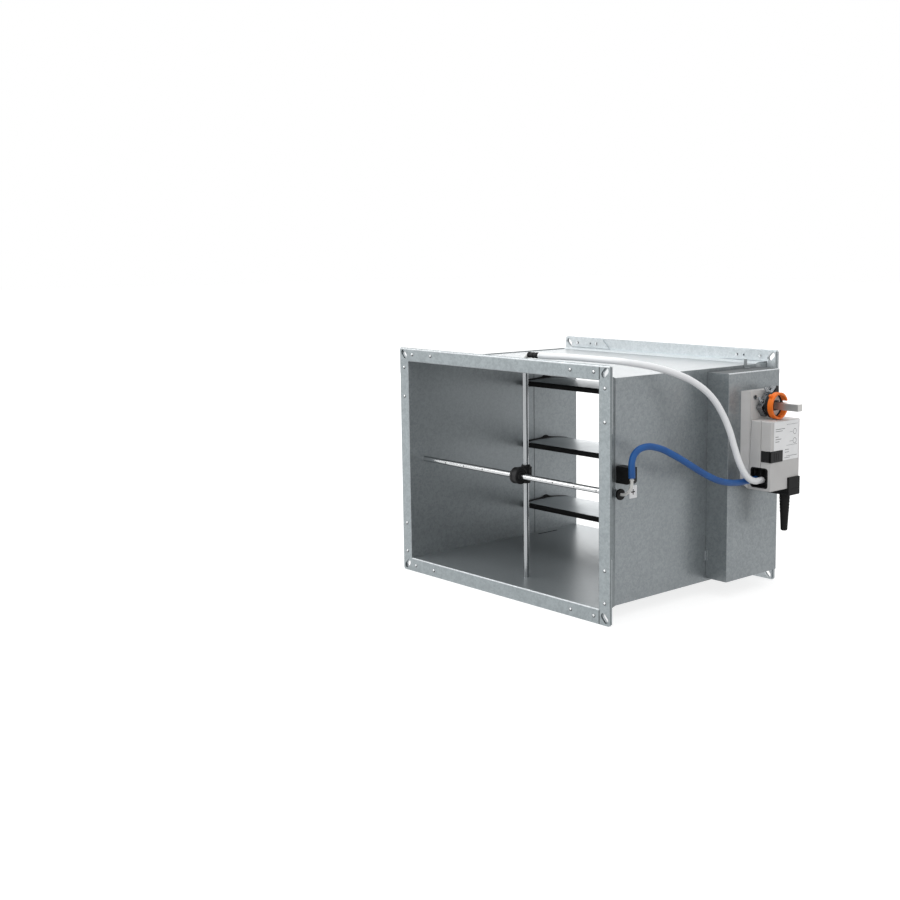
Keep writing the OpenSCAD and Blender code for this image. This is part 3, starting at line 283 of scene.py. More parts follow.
def new_finish(name, metallic=0.0, specular=0.5):
    """A material with what is the same all over it."""
    made = bpy.data.materials.new(name)
    made.use_nodes = True
    tree = made.node_tree
    shader = tree.nodes["Principled BSDF"]
    shader.inputs["Metallic"].default_value = metallic
    shader.inputs["Specular IOR Level"].default_value = specular
    return made, tree, shader


def between(tree, mask, low, high):
    """A number that goes from low to high with a mask."""
    ranged = node(tree, "MapRange", {"From Min": 0.25, "From Max": 0.75, "To Min": low, "To Max": high})
    link(tree, (mask, ranged.inputs["Value"]))
    return ranged.outputs["Result"]


def blended(tree, mask, dark, light, low=0.2, high=0.8):
    """A colour that goes from dark to light with a mask."""
    ramp = node(tree, "ValToRGB")
    ramp.color_ramp.elements[0].position, ramp.color_ramp.elements[1].position = low, high
    ramp.color_ramp.elements[0].color = (*dark, 1)
    ramp.color_ramp.elements[1].color = (*light, 1)
    link(tree, (mask, ramp.inputs["Fac"]))
    return ramp.outputs["Color"]


def multiplied(tree, colour, level):
    """A colour times a grey level."""
    tinted = node(tree, "Mix", data_type="RGBA", blend_type="MULTIPLY")
    tinted.inputs["Factor"].default_value = 1
    grey = node(tree, "CombineColor")
    link(tree, (level, grey.inputs[0]), (level, grey.inputs[1]), (level, grey.inputs[2]),
         (colour, tinted.inputs[6]), (grey.outputs[0], tinted.inputs[7]))
    return tinted.outputs[2]


def shaded(tree, colour, mask, low, high):
    """A colour made darker or lighter by a mask."""
    return multiplied(tree, colour, between(tree, mask, low, high))


def facing(tree):
    """The X, Y and Z of the way that the surface faces on the object."""
    place, split = node(tree, "TexCoord"), node(tree, "SeparateXYZ")
    link(tree, (place.outputs["Normal"], split.inputs[0]))
    return [split.outputs[axis] for axis in "XYZ"]


def bumped(tree, shader, height, strength, distance):
    """Fine relief on a finish."""
    bump = node(tree, "Bump", {"Strength": strength, "Distance": distance})
    link(tree, (height, bump.inputs["Height"]), (bump.outputs[0], shader.inputs["Normal"]))


def linear(red, green, blue):
    """A colour given by its usual 0 to 255 numbers."""
    return tuple((v / 255 / 12.92 if v < 11 else ((v / 255 + 0.055) / 1.055) ** 2.4) for v in (red, green, blue))


def new_zinc(name, dark, light, metallic, cloud):
    """A finish with zinc crystals and their fine relief, its colour, and the crystals' mask."""
    made, tree, shader = new_finish(name, metallic)
    crystals = place_effect(tree, spangle, Scale=CRYSTAL_SCALE)
    colour = blended(tree, crystals.outputs["Tone"], linear(*dark), linear(*light))
    bumped(tree, shader, crystals.outputs["Grain"], 0.12, 0.0001)
    return made, tree, shader, shaded(tree, colour, crystals.outputs["Cloud"], *cloud), crystals.outputs["Tone"]


EVEN_CLOUD = (0.96, 1.03)


def galvanised(name, dark, light, rough, metallic, cloud=(0.93, 1.05)):
    """Zinc coated steel with its crystals."""
    made, tree, shader, colour, tone = new_zinc(name, dark, light, metallic, cloud)
    link(tree, (colour, shader.inputs["Base Color"]), (between(tree, tone, *rough), shader.inputs["Roughness"]))
    return made


def drawn_metal(name, dark, light, along, rough, metallic=1.0, bump=0.15):
    """Bar or tube with fine lines along it."""
    made, tree, shader = new_finish(name, metallic)
    lines = place_effect(tree, drawn_lines, Along_X=along[0], Along_Y=along[1], Along_Z=along[2])
    colour = blended(tree, lines.outputs["Lines"], linear(*dark), linear(*light), 0.3, 0.7)
    link(tree, (shaded(tree, colour, lines.outputs["Haze"], 0.94, 1.04), shader.inputs["Base Color"]),
         (between(tree, lines.outputs["Haze"], *rough), shader.inputs["Roughness"]))
    bumped(tree, shader, lines.outputs["Lines"], bump, 0.00005)
    return made


def moulded(name, dark, light, rough, scale=2600.0, bump=0.25, specular=0.5):
    """Moulded plastic or rubber."""
    made, tree, shader = new_finish(name, 0.0, specular)
    texture = place_effect(tree, moulding, Scale=scale)
    colour = blended(tree, texture.outputs["Shade"], linear(*dark), linear(*light), 0.3, 0.7)
    link(tree, (colour, shader.inputs["Base Color"]),
         (between(tree, texture.outputs["Height"], *rough), shader.inputs["Roughness"]))
    bumped(tree, shader, texture.outputs["Height"], bump, 0.00006)
    return made


def profile_finish(name, dark, light):
    """Zinc of the flange profiles, with painted shade that darkens the faces that look sideways."""
    made, tree, shader, colour, tone = new_zinc(name, dark, light, 0.6, EVEN_CLOUD)
    across = facing(tree)[0]
    squared = node(tree, "Math", operation="MULTIPLY")
    side = node(tree, "Math", {1: 4.0}, operation="POWER")
    link(tree, (across, squared.inputs[0]), (across, squared.inputs[1]), (squared.outputs[0], side.inputs[0]))
    # Painted shade: faces that look along X are darkened, down to 0.6 of their colour.
    link(tree, (shaded(tree, colour, side.outputs[0], 1.0, 0.6), shader.inputs["Base Color"]),
         (between(tree, tone, 0.32, 0.42), shader.inputs["Roughness"]))
    return made


def rivet_finish():
    """Domes with painted light: bright on their face and dark round their foot, more of the dark below and on the
    left.
    """
    made, tree, shader = new_finish("rivet_steel", 0.8)
    lines = place_effect(tree, drawn_lines, Along_X=500.0, Along_Y=500.0, Along_Z=500.0)
    across, along, upwards = facing(tree)
    # Painted light: the colour runs from dark at the dome's foot, below and on the left, to bright on its face.
    top = node(tree, "Math", operation="ABSOLUTE")
    right = node(tree, "Math", {1: 0.3}, operation="MULTIPLY_ADD")
    painted_light_mask = node(tree, "Math", {1: 0.35}, operation="MULTIPLY_ADD")
    link(tree, (along, top.inputs[0]), (across, right.inputs[0]), (top.outputs[0], right.inputs[2]),
         (upwards, painted_light_mask.inputs[0]), (right.outputs[0], painted_light_mask.inputs[2]))
    colour = blended(tree, painted_light_mask.outputs[0], linear(30, 32, 34), linear(222, 225, 227), 0.86, 1.03)
    link(tree, (shaded(tree, colour, lines.outputs["Lines"], 0.95, 1.04), shader.inputs["Base Color"]),
         (between(tree, lines.outputs["Haze"], 0.2, 0.3), shader.inputs["Roughness"]))
    return made


def cover_finish():
    """The sheet's finish, rougher on the cover's upper face, which painted shade also makes darker."""
    made, tree, shader, colour, tone = new_zinc("cover_sheet", (133, 139, 142), (146, 152, 155), 0.5, EVEN_CLOUD)
    upwards = facing(tree)[2]
    # Painted shade: the colour of faces that look upwards is darkened, down to 0.45.
    level = node(tree, "MapRange", {"From Min": 0.6, "From Max": 0.9, "To Min": 1.0, "To Max": 0.45})
    rough = node(tree, "MapRange", {"From Min": 0.6, "From Max": 0.9, "To Min": 0.34, "To Max": 0.75})
    link(tree, (upwards, level.inputs["Value"]), (upwards, rough.inputs["Value"]),
         (multiplied(tree, colour, level.outputs["Result"]), shader.inputs["Base Color"]),
         (rough.outputs["Result"], shader.inputs["Roughness"]))
    return made


finishes = {
    "galvanised_profile": profile_finish("galvanised_profile", (146, 154, 157), (162, 170, 173)),
    "galvanised_sheet": galvanised("galvanised_sheet", (135, 141, 144), (149, 155, 158), (0.3, 0.38), 0.5, EVEN_CLOUD),
    "bright_steel": drawn_metal("bright_steel", (126, 129, 132), (158, 161, 164), (700.0, 700.0, 700.0), (0.2, 0.34)),
    "crank_steel": galvanised("crank_steel", (120, 124, 128), (150, 154, 158), (0.34, 0.46), 0.9),
    "tube_aluminium": drawn_metal("tube_aluminium", (190, 192, 193), (198, 200, 201), (20.0, 300.0, 20.0),
                                  (0.15, 0.2), 1.0, 0.0),
    "blade_aluminium": drawn_metal("blade_aluminium", (156, 162, 165), (168, 174, 177), (12.0, 500.0, 500.0),
                                   (0.34, 0.42), 0.6, 0.05),
    "shaft_aluminium": drawn_metal("shaft_aluminium", (182, 181, 179), (200, 199, 197), (25.0, 900.0, 900.0),
                                   (0.28, 0.38), 0.85, 0.1),
    "seal_rubber": moulded("seal_rubber", (18, 18, 18), (26, 26, 26), (0.6, 0.78), 1800.0, 0.3, 0.2),
    "black_plastic": moulded("black_plastic", (22, 22, 23), (31, 31, 32), (0.44, 0.56), specular=0.26),
    "grey_plastic": moulded("grey_plastic", (200, 199, 198), (207, 206, 205), (0.48, 0.62)),
    "pale_plastic": moulded("pale_plastic", (214, 214, 211), (228, 228, 226), (0.36, 0.5)),
    "orange_plastic": moulded("orange_plastic", (240, 114, 26), (252, 130, 36), (0.38, 0.5), specular=0.35),
    "white_label": moulded("white_label", (243, 244, 245), (249, 250, 251), (0.3, 0.42), 900.0, 0.08),
    "blue_rubber": moulded("blue_rubber", (20, 74, 138), (30, 92, 160), (0.34, 0.48), 1500.0, 0.1, 0.35),
    "white_rubber": moulded("white_rubber", (243, 245, 247), (249, 250, 252), (0.3, 0.44), 1500.0, 0.1),
    "gearbox_plastic": moulded("gearbox_plastic", (70, 75, 82), (86, 91, 98), (0.4, 0.55)),
    "board_green": moulded("board_green", (18, 84, 48), (28, 100, 60), (0.3, 0.42), 1200.0, 0.15),
}
# Finishes of single pieces, which keep the material slot of what they belong to
rivet_steel = rivet_finish()
# Painted light: a much lighter copy of the profile zinc, for the outlet profiles and the corner plates.
back_profile_painted_light = profile_finish("back_profile_painted_light", (197, 204, 207), (211, 217, 220))
cover_sheet = cover_finish()
# Painted shade: a darker copy of the tube aluminium, for the upright tube.
upright_aluminium_painted_shade = drawn_metal("upright_aluminium_painted_shade", (152, 155, 157), (168, 171, 173), (300.0, 300.0, 20.0),
                                (0.2, 0.26), 1.0, 0.0)
button_black = moulded("button_black", (28, 28, 29), (37, 37, 38), (0.44, 0.56), specular=0.26)
entry_black = moulded("entry_black", (15, 15, 16), (22, 22, 23), (0.5, 0.62), specular=0.2)
# Painted highlight: a much lighter copy of the zinc, for the rolled edges.
painted_highlight_zinc = galvanised("painted_highlight_zinc", (206, 211, 214), (222, 227, 229), (0.28, 0.36), 0.5, (0.97, 1.03))
lap_grey = galvanised("lap_grey", (92, 96, 99), (104, 108, 111), (0.4, 0.5), 0.5)
mark_ink = moulded("mark_ink", (92, 94, 97), (112, 114, 117), (0.45, 0.6), 900.0, 0.05)
# Dark joints, and painted shade in the sensing holes.
joint_dark_and_painted_shade = moulded("joint_dark_and_painted_shade", (24, 25, 26), (36, 37, 38), (0.6, 0.8), 900.0, 0.05, 0.2)


# ---------------------------------------------------------------- shaping tools

TURN_TO = {"x": Matrix.Identity(3), "y": Matrix.Rotation(pi / 2, 3, "Z"), "z": Matrix.Rotation(-pi / 2, 3, "Y")}


def box(low, high):
    """A block between two corners."""
    shape = bmesh.new()
    bmesh.ops.create_cube(shape, size=1)
    low, high = Vector(low), Vector(high)
    bmesh.ops.scale(shape, vec=high - low, verts=shape.verts)
    bmesh.ops.translate(shape, vec=(low + high) / 2, verts=shape.verts)
    return shape


def turned(outline, axis, place, steps=48, ring=False):
    """An outline of (place along the axis, radius) turned all the way round. A ring's outline closes on itself."""
    shape = bmesh.new()
    points = [shape.verts.new((along, 0, radius)) for along, radius in outline]
    lines = [shape.edges.new(pair) for pair in zip(points, points[1:])]
    if ring:
        lines.append(shape.edges.new((points[-1], points[0])))
    bmesh.ops.spin(shape, geom=points + lines, cent=(0, 0, 0), axis=(1, 0, 0), dvec=(0, 0, 0), angle=2 * pi,
                   steps=steps, use_merge=True)
    bmesh.ops.remove_doubles(shape, verts=shape.verts, dist=1e-4)
    bmesh.ops.rotate(shape, cent=(0, 0, 0), matrix=TURN_TO[axis], verts=shape.verts)
    bmesh.ops.translate(shape, vec=place, verts=shape.verts)
    bmesh.ops.recalc_face_normals(shape, faces=shape.faces)
    return shape


def drawn(outline, axis, start, end):
    """An outline, given by the two other coordinates, drawn out along an axis."""
    put = {"x": lambda a, b: (start, a, b), "y": lambda a, b: (a, start, b), "z": lambda a, b: (a, b, start)}[axis]
    step = {"x": (end - start, 0, 0), "y": (0, end - start, 0), "z": (0, 0, end - start)}[axis]
    shape = bmesh.new()
    face = shape.faces.new([shape.verts.new(put(*point)) for point in outline])
    made = bmesh.ops.extrude_face_region(shape, geom=[face])["geom"]
    bmesh.ops.translate(shape, vec=step, verts=[v for v in made if isinstance(v, bmesh.types.BMVert)])
    bmesh.ops.recalc_face_normals(shape, faces=shape.faces)
    return shape


def rounded_outline(a0, a1, b0, b1, radius, steps=6):
    """A rectangle with round corners."""
    points = []
    for centre_a, centre_b, start in ((a1 - radius, b1 - radius, 0), (a0 + radius, b1 - radius, 90),
                                      (a0 + radius, b0 + radius, 180), (a1 - radius, b0 + radius, 270)):
        for k in range(steps + 1):
            angle = radians(start + 90 * k / steps)
            points.append((centre_a + radius * cos(angle), centre_b + radius * sin(angle)))
    return points


def soften(shape, width, segments=3, angle=35, where=None):
    """Rounds the edges that are sharper than an angle, or those of them that a test picks."""
    edges = [e for e in shape.edges if len(e.link_faces) == 2 and e.calc_face_angle(0) > radians(angle)
             and (where is None or where(e))]
    bmesh.ops.bevel(shape, geom=edges, affect="EDGES", offset=width, offset_type="OFFSET", segments=segments,
                    profile=0.5, material=-1, clamp_overlap=True)
    return shape


def joined(*shapes):
    """One shape from several."""
    whole = bmesh.new()
    for shape in shapes:
        carrier = bpy.data.meshes.new("carrier")
        shape.to_mesh(carrier)
        shape.free()
        whole.from_mesh(carrier)
        bpy.data.meshes.remove(carrier)
    return whole


def placed(name, shape):
    """A shape put into the scene as it is."""
    mesh = bpy.data.meshes.new(name)
    shape.to_mesh(mesh)
    shape.free()
    made = bpy.data.objects.new(name, mesh)
    scene.collection.objects.link(made)
    return made


def carved(body, *tools):
    """A body with the tools' space cut out of it, one after the other."""
    for tool in tools:
        held, cutter = placed("held", body), placed("cutter", tool)
        step = held.modifiers.new("carve", "BOOLEAN")
        step.operation, step.solver, step.object = "DIFFERENCE", "EXACT", cutter
        result = bpy.data.meshes.new_from_object(held.evaluated_get(bpy.context.evaluated_depsgraph_get()))
        body = bmesh.new()
        body.from_mesh(result)
        bmesh.ops.remove_doubles(body, verts=body.verts, dist=1e-3)
        bmesh.ops.dissolve_limit(body, angle_limit=radians(0.5), verts=body.verts, edges=body.edges)
        for used in (held, cutter):
            bpy.data.objects.remove(used)
        bpy.data.meshes.remove(result)
    return body


def swept(course, radius):
    """A round bar along a course of points."""
    line = bpy.data.curves.new("course", "CURVE")
    line.dimensions = "3D"
    line.bevel_depth = radius
    line.bevel_resolution = 4
    line.use_fill_caps = True
    spline = line.splines.new("POLY")
    spline.points.add(len(course) - 1)
    for point, place in zip(spline.points, course):
        point.co = (*place, 1)
    held = bpy.data.objects.new("course", line)
    scene.collection.objects.link(held)
    result = bpy.data.meshes.new_from_object(held.evaluated_get(bpy.context.evaluated_depsgraph_get()))
    shape = bmesh.new()
    shape.from_mesh(result)
    bmesh.ops.remove_doubles(shape, verts=shape.verts, dist=1e-4)
    bmesh.ops.recalc_face_normals(shape, faces=shape.faces)
    bpy.data.objects.remove(held)
    bpy.data.meshes.remove(result)
    return shape


def moved(shape, turn=0.0, place=(0, 0, 0)):
    """A shape turned about X, then moved."""
    bmesh.ops.rotate(shape, cent=(0, 0, 0), matrix=Matrix.Rotation(turn, 3, "X"), verts=shape.verts)
    bmesh.ops.translate(shape, vec=place, verts=shape.verts)
    return shape


def finished(name, shape, body, finish, stands_for=(), crease=32, material=None):
    """A shape made a piece of the object: scaled, smoothed, given its finish and its body."""
    bmesh.ops.scale(shape, vec=(0.001, 0.001, 0.001), verts=shape.verts)
    for face in shape.faces:
        face.smooth = True
    for edge in shape.edges:
        edge.smooth = len(edge.link_faces) == 2 and edge.calc_face_angle(0) < radians(crease)
    piece = placed(name, shape)
    piece.data.materials.append(material or finishes[finish])
    even = piece.modifiers.new("even_shading", "WEIGHTED_NORMAL")
    even.keep_sharp = True
    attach(piece, body)
    if stands_for:
        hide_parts(*stands_for)
    return piece


# ---------------------------------------------------------------- hoses

def lay_hose(name, route, finish):
    """A hose along its route, from its first end to the actuator."""
    line = bpy.data.curves.new(name, "CURVE")
    line.dimensions = "3D"
    line.bevel_depth = HOSE_RADIUS
    line.bevel_resolution = 8
    line.resolution_u = 10
    line.use_fill_caps = True
    spline = line.splines.new("BEZIER")
    spline.bezier_points.add(len(route) - 1)
    for point, place in zip(spline.bezier_points, route):
        point.co = place
        point.handle_left_type = point.handle_right_type = "AUTO"
    line.materials.append(finishes[finish])
    hose = bpy.data.objects.new(name, line)
    scene.collection.objects.link(hose)
    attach(hose, "casing")
    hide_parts(name.replace("_line", ""))
    return hose


BLUE_ROUTE = [(0.2315, 0.0285, 0.0240), (0.23138, 0.0285, 0.0340), (0.23077, 0.0295, 0.0460),
              (0.23165, 0.0360, 0.0570), (0.23504, 0.0480, 0.0625), (0.23992, 0.0680, 0.0600),
              (0.24681, 0.0920, 0.0485), (0.25269, 0.1180, 0.0330), (0.25658, 0.1460, 0.0170),
              (0.25946, 0.1740, 0.0050), (0.26085, 0.2020, -0.0005), (0.26023, 0.2280, -0.0015),
              (0.25962, 0.2420, -0.0015), (0.2595, 0.2510, -0.0015)]
WHITE_ROUTE = [(0.038, 0.047, 0.1695), (0.050, 0.047, 0.1695), (0.080, 0.047, 0.1705), (0.110, 0.047, 0.171),
               (0.140, 0.047, 0.171), (0.168, 0.047, 0.171), (0.190, 0.050, 0.1705), (0.206, 0.064, 0.1675),
               (0.220, 0.086, 0.162), (0.232, 0.112, 0.153), (0.242, 0.140, 0.139), (0.249, 0.164, 0.120),
               (0.254, 0.180, 0.098), (0.259, 0.191, 0.073), (0.263, 0.198, 0.048), (0.267, 0.206, 0.024),
               (0.2695, 0.219, 0.006), (0.270, 0.234, -0.001), (0.270, 0.244, -0.0015), (0.270, 0.251, -0.0015)]
lay_hose("blue_hose_line", BLUE_ROUTE, "blue_rubber")
lay_hose("white_hose_line", WHITE_ROUTE, "white_rubber")


# ---------------------------------------------------------------- small details of the duct and the level tube

def corner_joints():
    """Dark joint lines where the level profiles butt against the upright ones, on the face of each flange."""
    lines = []
    joint, proud, low, high = OPEN_X + 0.6, 0.08, OPEN_Z + 1.4, FLANGE_Z - 0.4
    for x, y0, y1 in ((joint, -proud, 0.3), (-joint, DUCT_Y - 0.3, DUCT_Y + proud),
                      (joint, DUCT_Y - 0.3, DUCT_Y + proud)):
        for z0, z1 in ((low, high), (-high, -low)):
            lines.append(box((x - 0.65, y0, z0), (x + 0.65, y1, z1)))
    finished("corner_joint_lines", joined(*lines), "casing", "galvanised_profile", material=joint_dark_and_painted_shade)


def rolled_edges():
    """Rounded edges with a painted highlight: the upper inlet profile's top, the lower one's inner edge, and the
    cover's upper edge.
    """
    for name, y, z, radius, reach in (("upper_rolled_edge", 1.3, FLANGE_Z - 1.7, 1.7, FLANGE_X - 0.6),
                                      ("lower_rolled_edge", 0.9, -OPEN_Z - 0.7, 1.2, OPEN_X)):
        bead = turned([(-reach, 0), (-reach, radius - 0.3), (-reach + 0.3, radius), (reach - 0.3, radius),
                       (reach, radius - 0.3), (reach, 0)], "x", (0, y, z), steps=24)
        finished(name, bead, "casing", "galvanised_profile", material=painted_highlight_zinc)
    bead = turned([(213.6, 0), (213.6, 0.7), (213.9, 1), (325.6, 1), (325.9, 0.7), (325.9, 0)], "y",
                  (238.15, 0, 145.75), steps=24)
    finished("cover_rolled_edge", bead, "casing", "galvanised_sheet", material=painted_highlight_zinc)


def roof_edge_fold():
    """Low standing fold along the roof's left edge."""
    fold = soften(box((-WALL_X, 3.4, ROOF_Z - 0.2), (-WALL_X + 0.9, DUCT_Y - 3.4, ROOF_Z + 1.3)), 0.3, 2)
    finished("roof_edge_fold", fold, "casing", "galvanised_sheet")


def shaded_holes():
    """Dark discs of painted shade in the sensing holes of the level tube, three on each side of the hub."""
    front = TUBE_Y - TUBE_RADIUS
    # Painted shade: dark discs just inside each hole.
    spots = [turned([(front - 0.1, 0), (front - 0.1, 1.1), (front + 0.6, 1.1), (front + 0.6, 0)], "y",
                    (HUB_X + side * x, 0, 0), steps=16) for side in (-1, 1) for x in (74, 116, 158)]
    finished("sensing_hole_painted_shade", joined(*spots), "casing", "tube_aluminium", material=joint_dark_and_painted_shade)


def inner_seams():
    """Shadow of the lap in the left wall's sheet, and the short dark slit in the floor beside it."""
    lap = box((-OPEN_X - 0.05, 252.7, 0.4 - OPEN_Z), (-OPEN_X + 0.12, 254.3, OPEN_Z - 0.4))
    finished("wall_lap_shadow", lap, "casing", "galvanised_sheet", material=lap_grey)
    slit = box((-188.9, 250, -OPEN_Z - 0.05), (-185.7, 292, -OPEN_Z + 0.1))
    finished("floor_slit", slit, "casing", "galvanised_sheet", material=joint_dark_and_painted_shade)


corner_joints()
inner_seams()
rolled_edges()
roof_edge_fold()
shaded_holes()


# ---------------------------------------------------------------- measuring cross and ports

def hub_of_the_cross():
    """Drum on the level tube, with a clip that reaches back round the upright tube."""
    half = [(7.75, 4.1), (7.75, 6.4), (7.2, 7), (6.75, 7), (6.75, 10.6), (6, 11.5), (3.2, 11.5), (2.7, 10.8)]
    outline = [(-along, radius) for along, radius in half] + [*reversed(half)]
    drum = turned(outline, "x", (HUB_X, TUBE_Y, 0), ring=True)
    arm = soften(box((UPRIGHT_X - 5.5, TUBE_Y + 4.5, -10.5), (UPRIGHT_X + 5.5, UPRIGHT_Y + 7, 10.5)), 1.2)
    ribs = [soften(box((UPRIGHT_X - 6.6, TUBE_Y + 9, z - 1), (UPRIGHT_X + 6.6, UPRIGHT_Y + 5, z + 1)), 0.5)
            for z in (-8, 0, 8)]
    collars = turned([(-13, 4.1), (-13, 6), (-12.3, 6.6), (12.3, 6.6), (13, 6), (13, 4.1)], "z",
                     (UPRIGHT_X, UPRIGHT_Y, 0), ring=True)
    finished("cross_hub_moulding", joined(drum, arm, collars, *ribs), "casing", "black_plastic", ["cross_hub"])


def grommet_in_the_wall():
    """Plain collar on the level tube's end, and the rubber head round the pipe."""
    collar = [(-0.5, 4.1), (-0.5, 5.4), (0, 5.4), (0.4, 5.3), (8.4, 5.3), (8.4, 4.1)]
    finished("wall_grommet_collar", turned(collar, "x", (WALL_X, TUBE_Y, 0), ring=True), "casing",
             "galvanised_sheet", ["wall_grommet"], crease=50)
    head = [(8.1, 4.2), (8.1, 6.5), (8.5, 7.1), (9.1, 7.4), (9.8, 7.5), (11, 7.5), (11.7, 7.2), (12, 6.5), (12, 2.7),
            (11.6, 2.3), (8.6, 2.3), (8.6, 4.2)]
    finished("wall_grommet_head", turned(head, "x", (WALL_X, TUBE_Y, 0), ring=True), "casing", "seal_rubber",
             ["wall_grommet"], crease=50)


def bent_port_pipe():
    """Pale pipe out of the grommet, bent upwards into the hose."""
    bend = [(213 + 18.5 * sin(radians(a)), TUBE_Y, 18.5 - 18.5 * cos(radians(a))) for a in range(0, 91, 6)]
    course = [(207.2, TUBE_Y, 0), *bend, (231.5, TUBE_Y, 26)]
    collar = turned([(0, 2), (0, 2.6), (0.4, 2.9), (1.6, 2.9), (2, 2.6), (2, 2)], "z", (231.5, TUBE_Y, 20.5),
                    ring=True)
    finished("port_pipe_bend", joined(swept(course, 2.15), collar), "casing", "pale_plastic", ["port_pipe"])


def port_block_moulding():
    """Block with a round lower corner and a sunk panel on its front."""
    outline = [(WALL_X, 36), (WALL_X, 13.5)]
    outline += [(220 + 5.5 * sin(radians(a)), 19 - 5.5 * cos(radians(a))) for a in range(0, 91, 15)]
    outline += [(225.5, 36)]
    shape = drawn(outline, "y", 30.5, 45)
    front = min(shape.faces, key=lambda f: f.calc_center_median().y)
    bmesh.ops.inset_region(shape, faces=[front], thickness=1.6, depth=-0.7)
    finished("port_block_moulding", soften(shape, 0.6, 2), "casing", "black_plastic", ["port_block"])


def plus_sticker():
    """Small sticker beside the port, with a plus."""
    sticker = drawn(rounded_outline(56, 70.5, -11, 6, 1), "x", WALL_X, WALL_X + 0.3)
    finished("plus_sticker", sticker, "casing", "white_label", ["plus_label"])
    y, z, reach, half = 63.2, -2.5, 3.6, 0.8
    cross = [(y - half, z + reach), (y - half, z + half), (y - reach, z + half), (y - reach, z - half),
             (y - half, z - half), (y - half, z - reach), (y + half, z - reach), (y + half, z - half),
             (y + reach, z - half), (y + reach, z + half), (y + half, z + half), (y + half, z + reach)]
    finished("plus_mark", drawn(cross, "x", WALL_X + 0.25, WALL_X + 0.36), "casing", "black_plastic")


def elbow_on_the_roof():
    """Foot, round body and thin slanted neck, with a ribbed sleeve on the neck's end."""
    body = turned([(0, 0), (0, 8.5), (2.4, 8.5), (3, 7.9), (3, 6.2), (3.7, 5.5), (11.2, 5.5), (12, 4.7), (12, 0)],
                  "z", (UPRIGHT_X, UPRIGHT_Y, ROOF_Z))
    course = [(8, 161), (8, 163), (9.4, 165), (13.2, 168.6), (15, 169.5), (18, 169.5)]
    neck = swept([(x, UPRIGHT_Y, z) for x, z in course], 2.8)
    outline = [(7, 0), (7, 3.1), (7.5, 3.6)]
    for start in (8, 15.5, 23):
        outline += [(start, 3.6), (start + 0.4, 4.3), (start + 3.1, 4.3), (start + 3.5, 3.6)]
    sleeve = turned([*outline, (29.4, 3.6), (30, 3.1), (30, 0)], "x", (UPRIGHT_X, UPRIGHT_Y, 169.5))
    finished("roof_elbow_moulding", joined(body, sleeve), "casing", "black_plastic", ["roof_elbow"])
    finished("roof_elbow_neck", neck, "casing", "pale_plastic", crease=50)


hub_of_the_cross()
grommet_in_the_wall()
bent_port_pipe()
port_block_moulding()
plus_sticker()
elbow_on_the_roof()


# ---------------------------------------------------------------- blade seals

def blade_seal(name, z):
    """Rounded rubber nose along a blade's leading edge."""
    half = [(-45.7, 4.08), (-47.6, 3.85), (-48.6, 3.35), (-49.3, 2.5), (-BLADE_HALF, 1.2)]
    outline = [(SHAFT_Y + y, z + t) for y, t in half] + [(SHAFT_Y + y, z - t) for y, t in reversed(half)]
    body = name.replace("_seal", "")
    finished(name + "_nose", drawn(outline, "x", -197, 197), body, "seal_rubber", [name], crease=50)


def end_rims(name, z):
    """Raised rim round each end of a blade, with a low hump over the shaft."""
    upper = []
    for k in range(-21, 22):
        y = 49 * k / 21
        # The blade's own half thickness, fuller towards the leading edge
        half = (7.6 + 4.4 * cos(pi / 2 * y / BLADE_HALF)) / 2 if y < 0 else (3 + 9 * cos(pi / 2 * y / BLADE_HALF)) / 2
        hump = 1.9 * cos(pi * y / 30) ** 2 if abs(y) < 15 else 0
        proud = 1.5 if y < 0 else 1.5 - 0.018 * y
        upper.append((y, half + proud * min(1, (49.6 - abs(y)) / 3) + hump))
    outline = [(SHAFT_Y + y, z + t) for y, t in upper] + [(SHAFT_Y + y, z - t) for y, t in reversed(upper)]
    ends = [soften(drawn(outline, "x", side * 196.3, side * 199.5), 0.4, 2, angle=60) for side in (-1, 1)]
    finished(name.replace("_seal", "_end_rims"), joined(*ends), name.replace("_seal", ""), "seal_rubber", crease=50)


for seal, level in (("top_blade_seal", PITCH), ("middle_blade_seal", 0), ("bottom_blade_seal", -PITCH)):
    blade_seal(seal, level)
    end_rims(seal, level)


# ---------------------------------------------------------------- actuator

def actuator_base():
    """Tray on the cover, with its boss round the shaft."""
    outline = [(COVER_X, HOUSING_Z0), (249, HOUSING_Z0), (253, HOUSING_Z1), (251, BASE_Z1), (COVER_X, BASE_Z1)]
    tray = drawn(outline, "y", ACTUATOR_Y0, ACTUATOR_Y1)
    bmesh.ops.bisect_plane(tray, geom=[*tray.verts, *tray.edges, *tray.faces], plane_co=(248.9, 0, 0),
                           plane_no=(1, 0, 0))
    for foot in tray.verts:
        if foot.co.x < COVER_X + 0.1:
            foot.co.y += 5.5 if foot.co.y > SHAFT_Y else -5.5
            foot.co.z += 9 if foot.co.z < HOUSING_Z0 + 1 else 0
    soften(tray, 1, where=lambda e: max(v.co.x for v in e.verts) > COVER_X + 1)
    hole = turned([(COVER_X - 2, 0), (COVER_X - 2, 8), (256, 8), (256, 0)], "x", (0, SHAFT_Y, SHAFT_Z))
    tray = carved(tray, hole)
    boss = turned([(244, 8.2), (252.2, 8.2), (252.6, 8.6), (252.6, 11.4), (252.2, 12), (244, 12)], "x",
                  (0, SHAFT_Y, SHAFT_Z), ring=True)
    finished("actuator_base_tray", joined(tray, boss), "casing", "grey_plastic", ["actuator_base"])


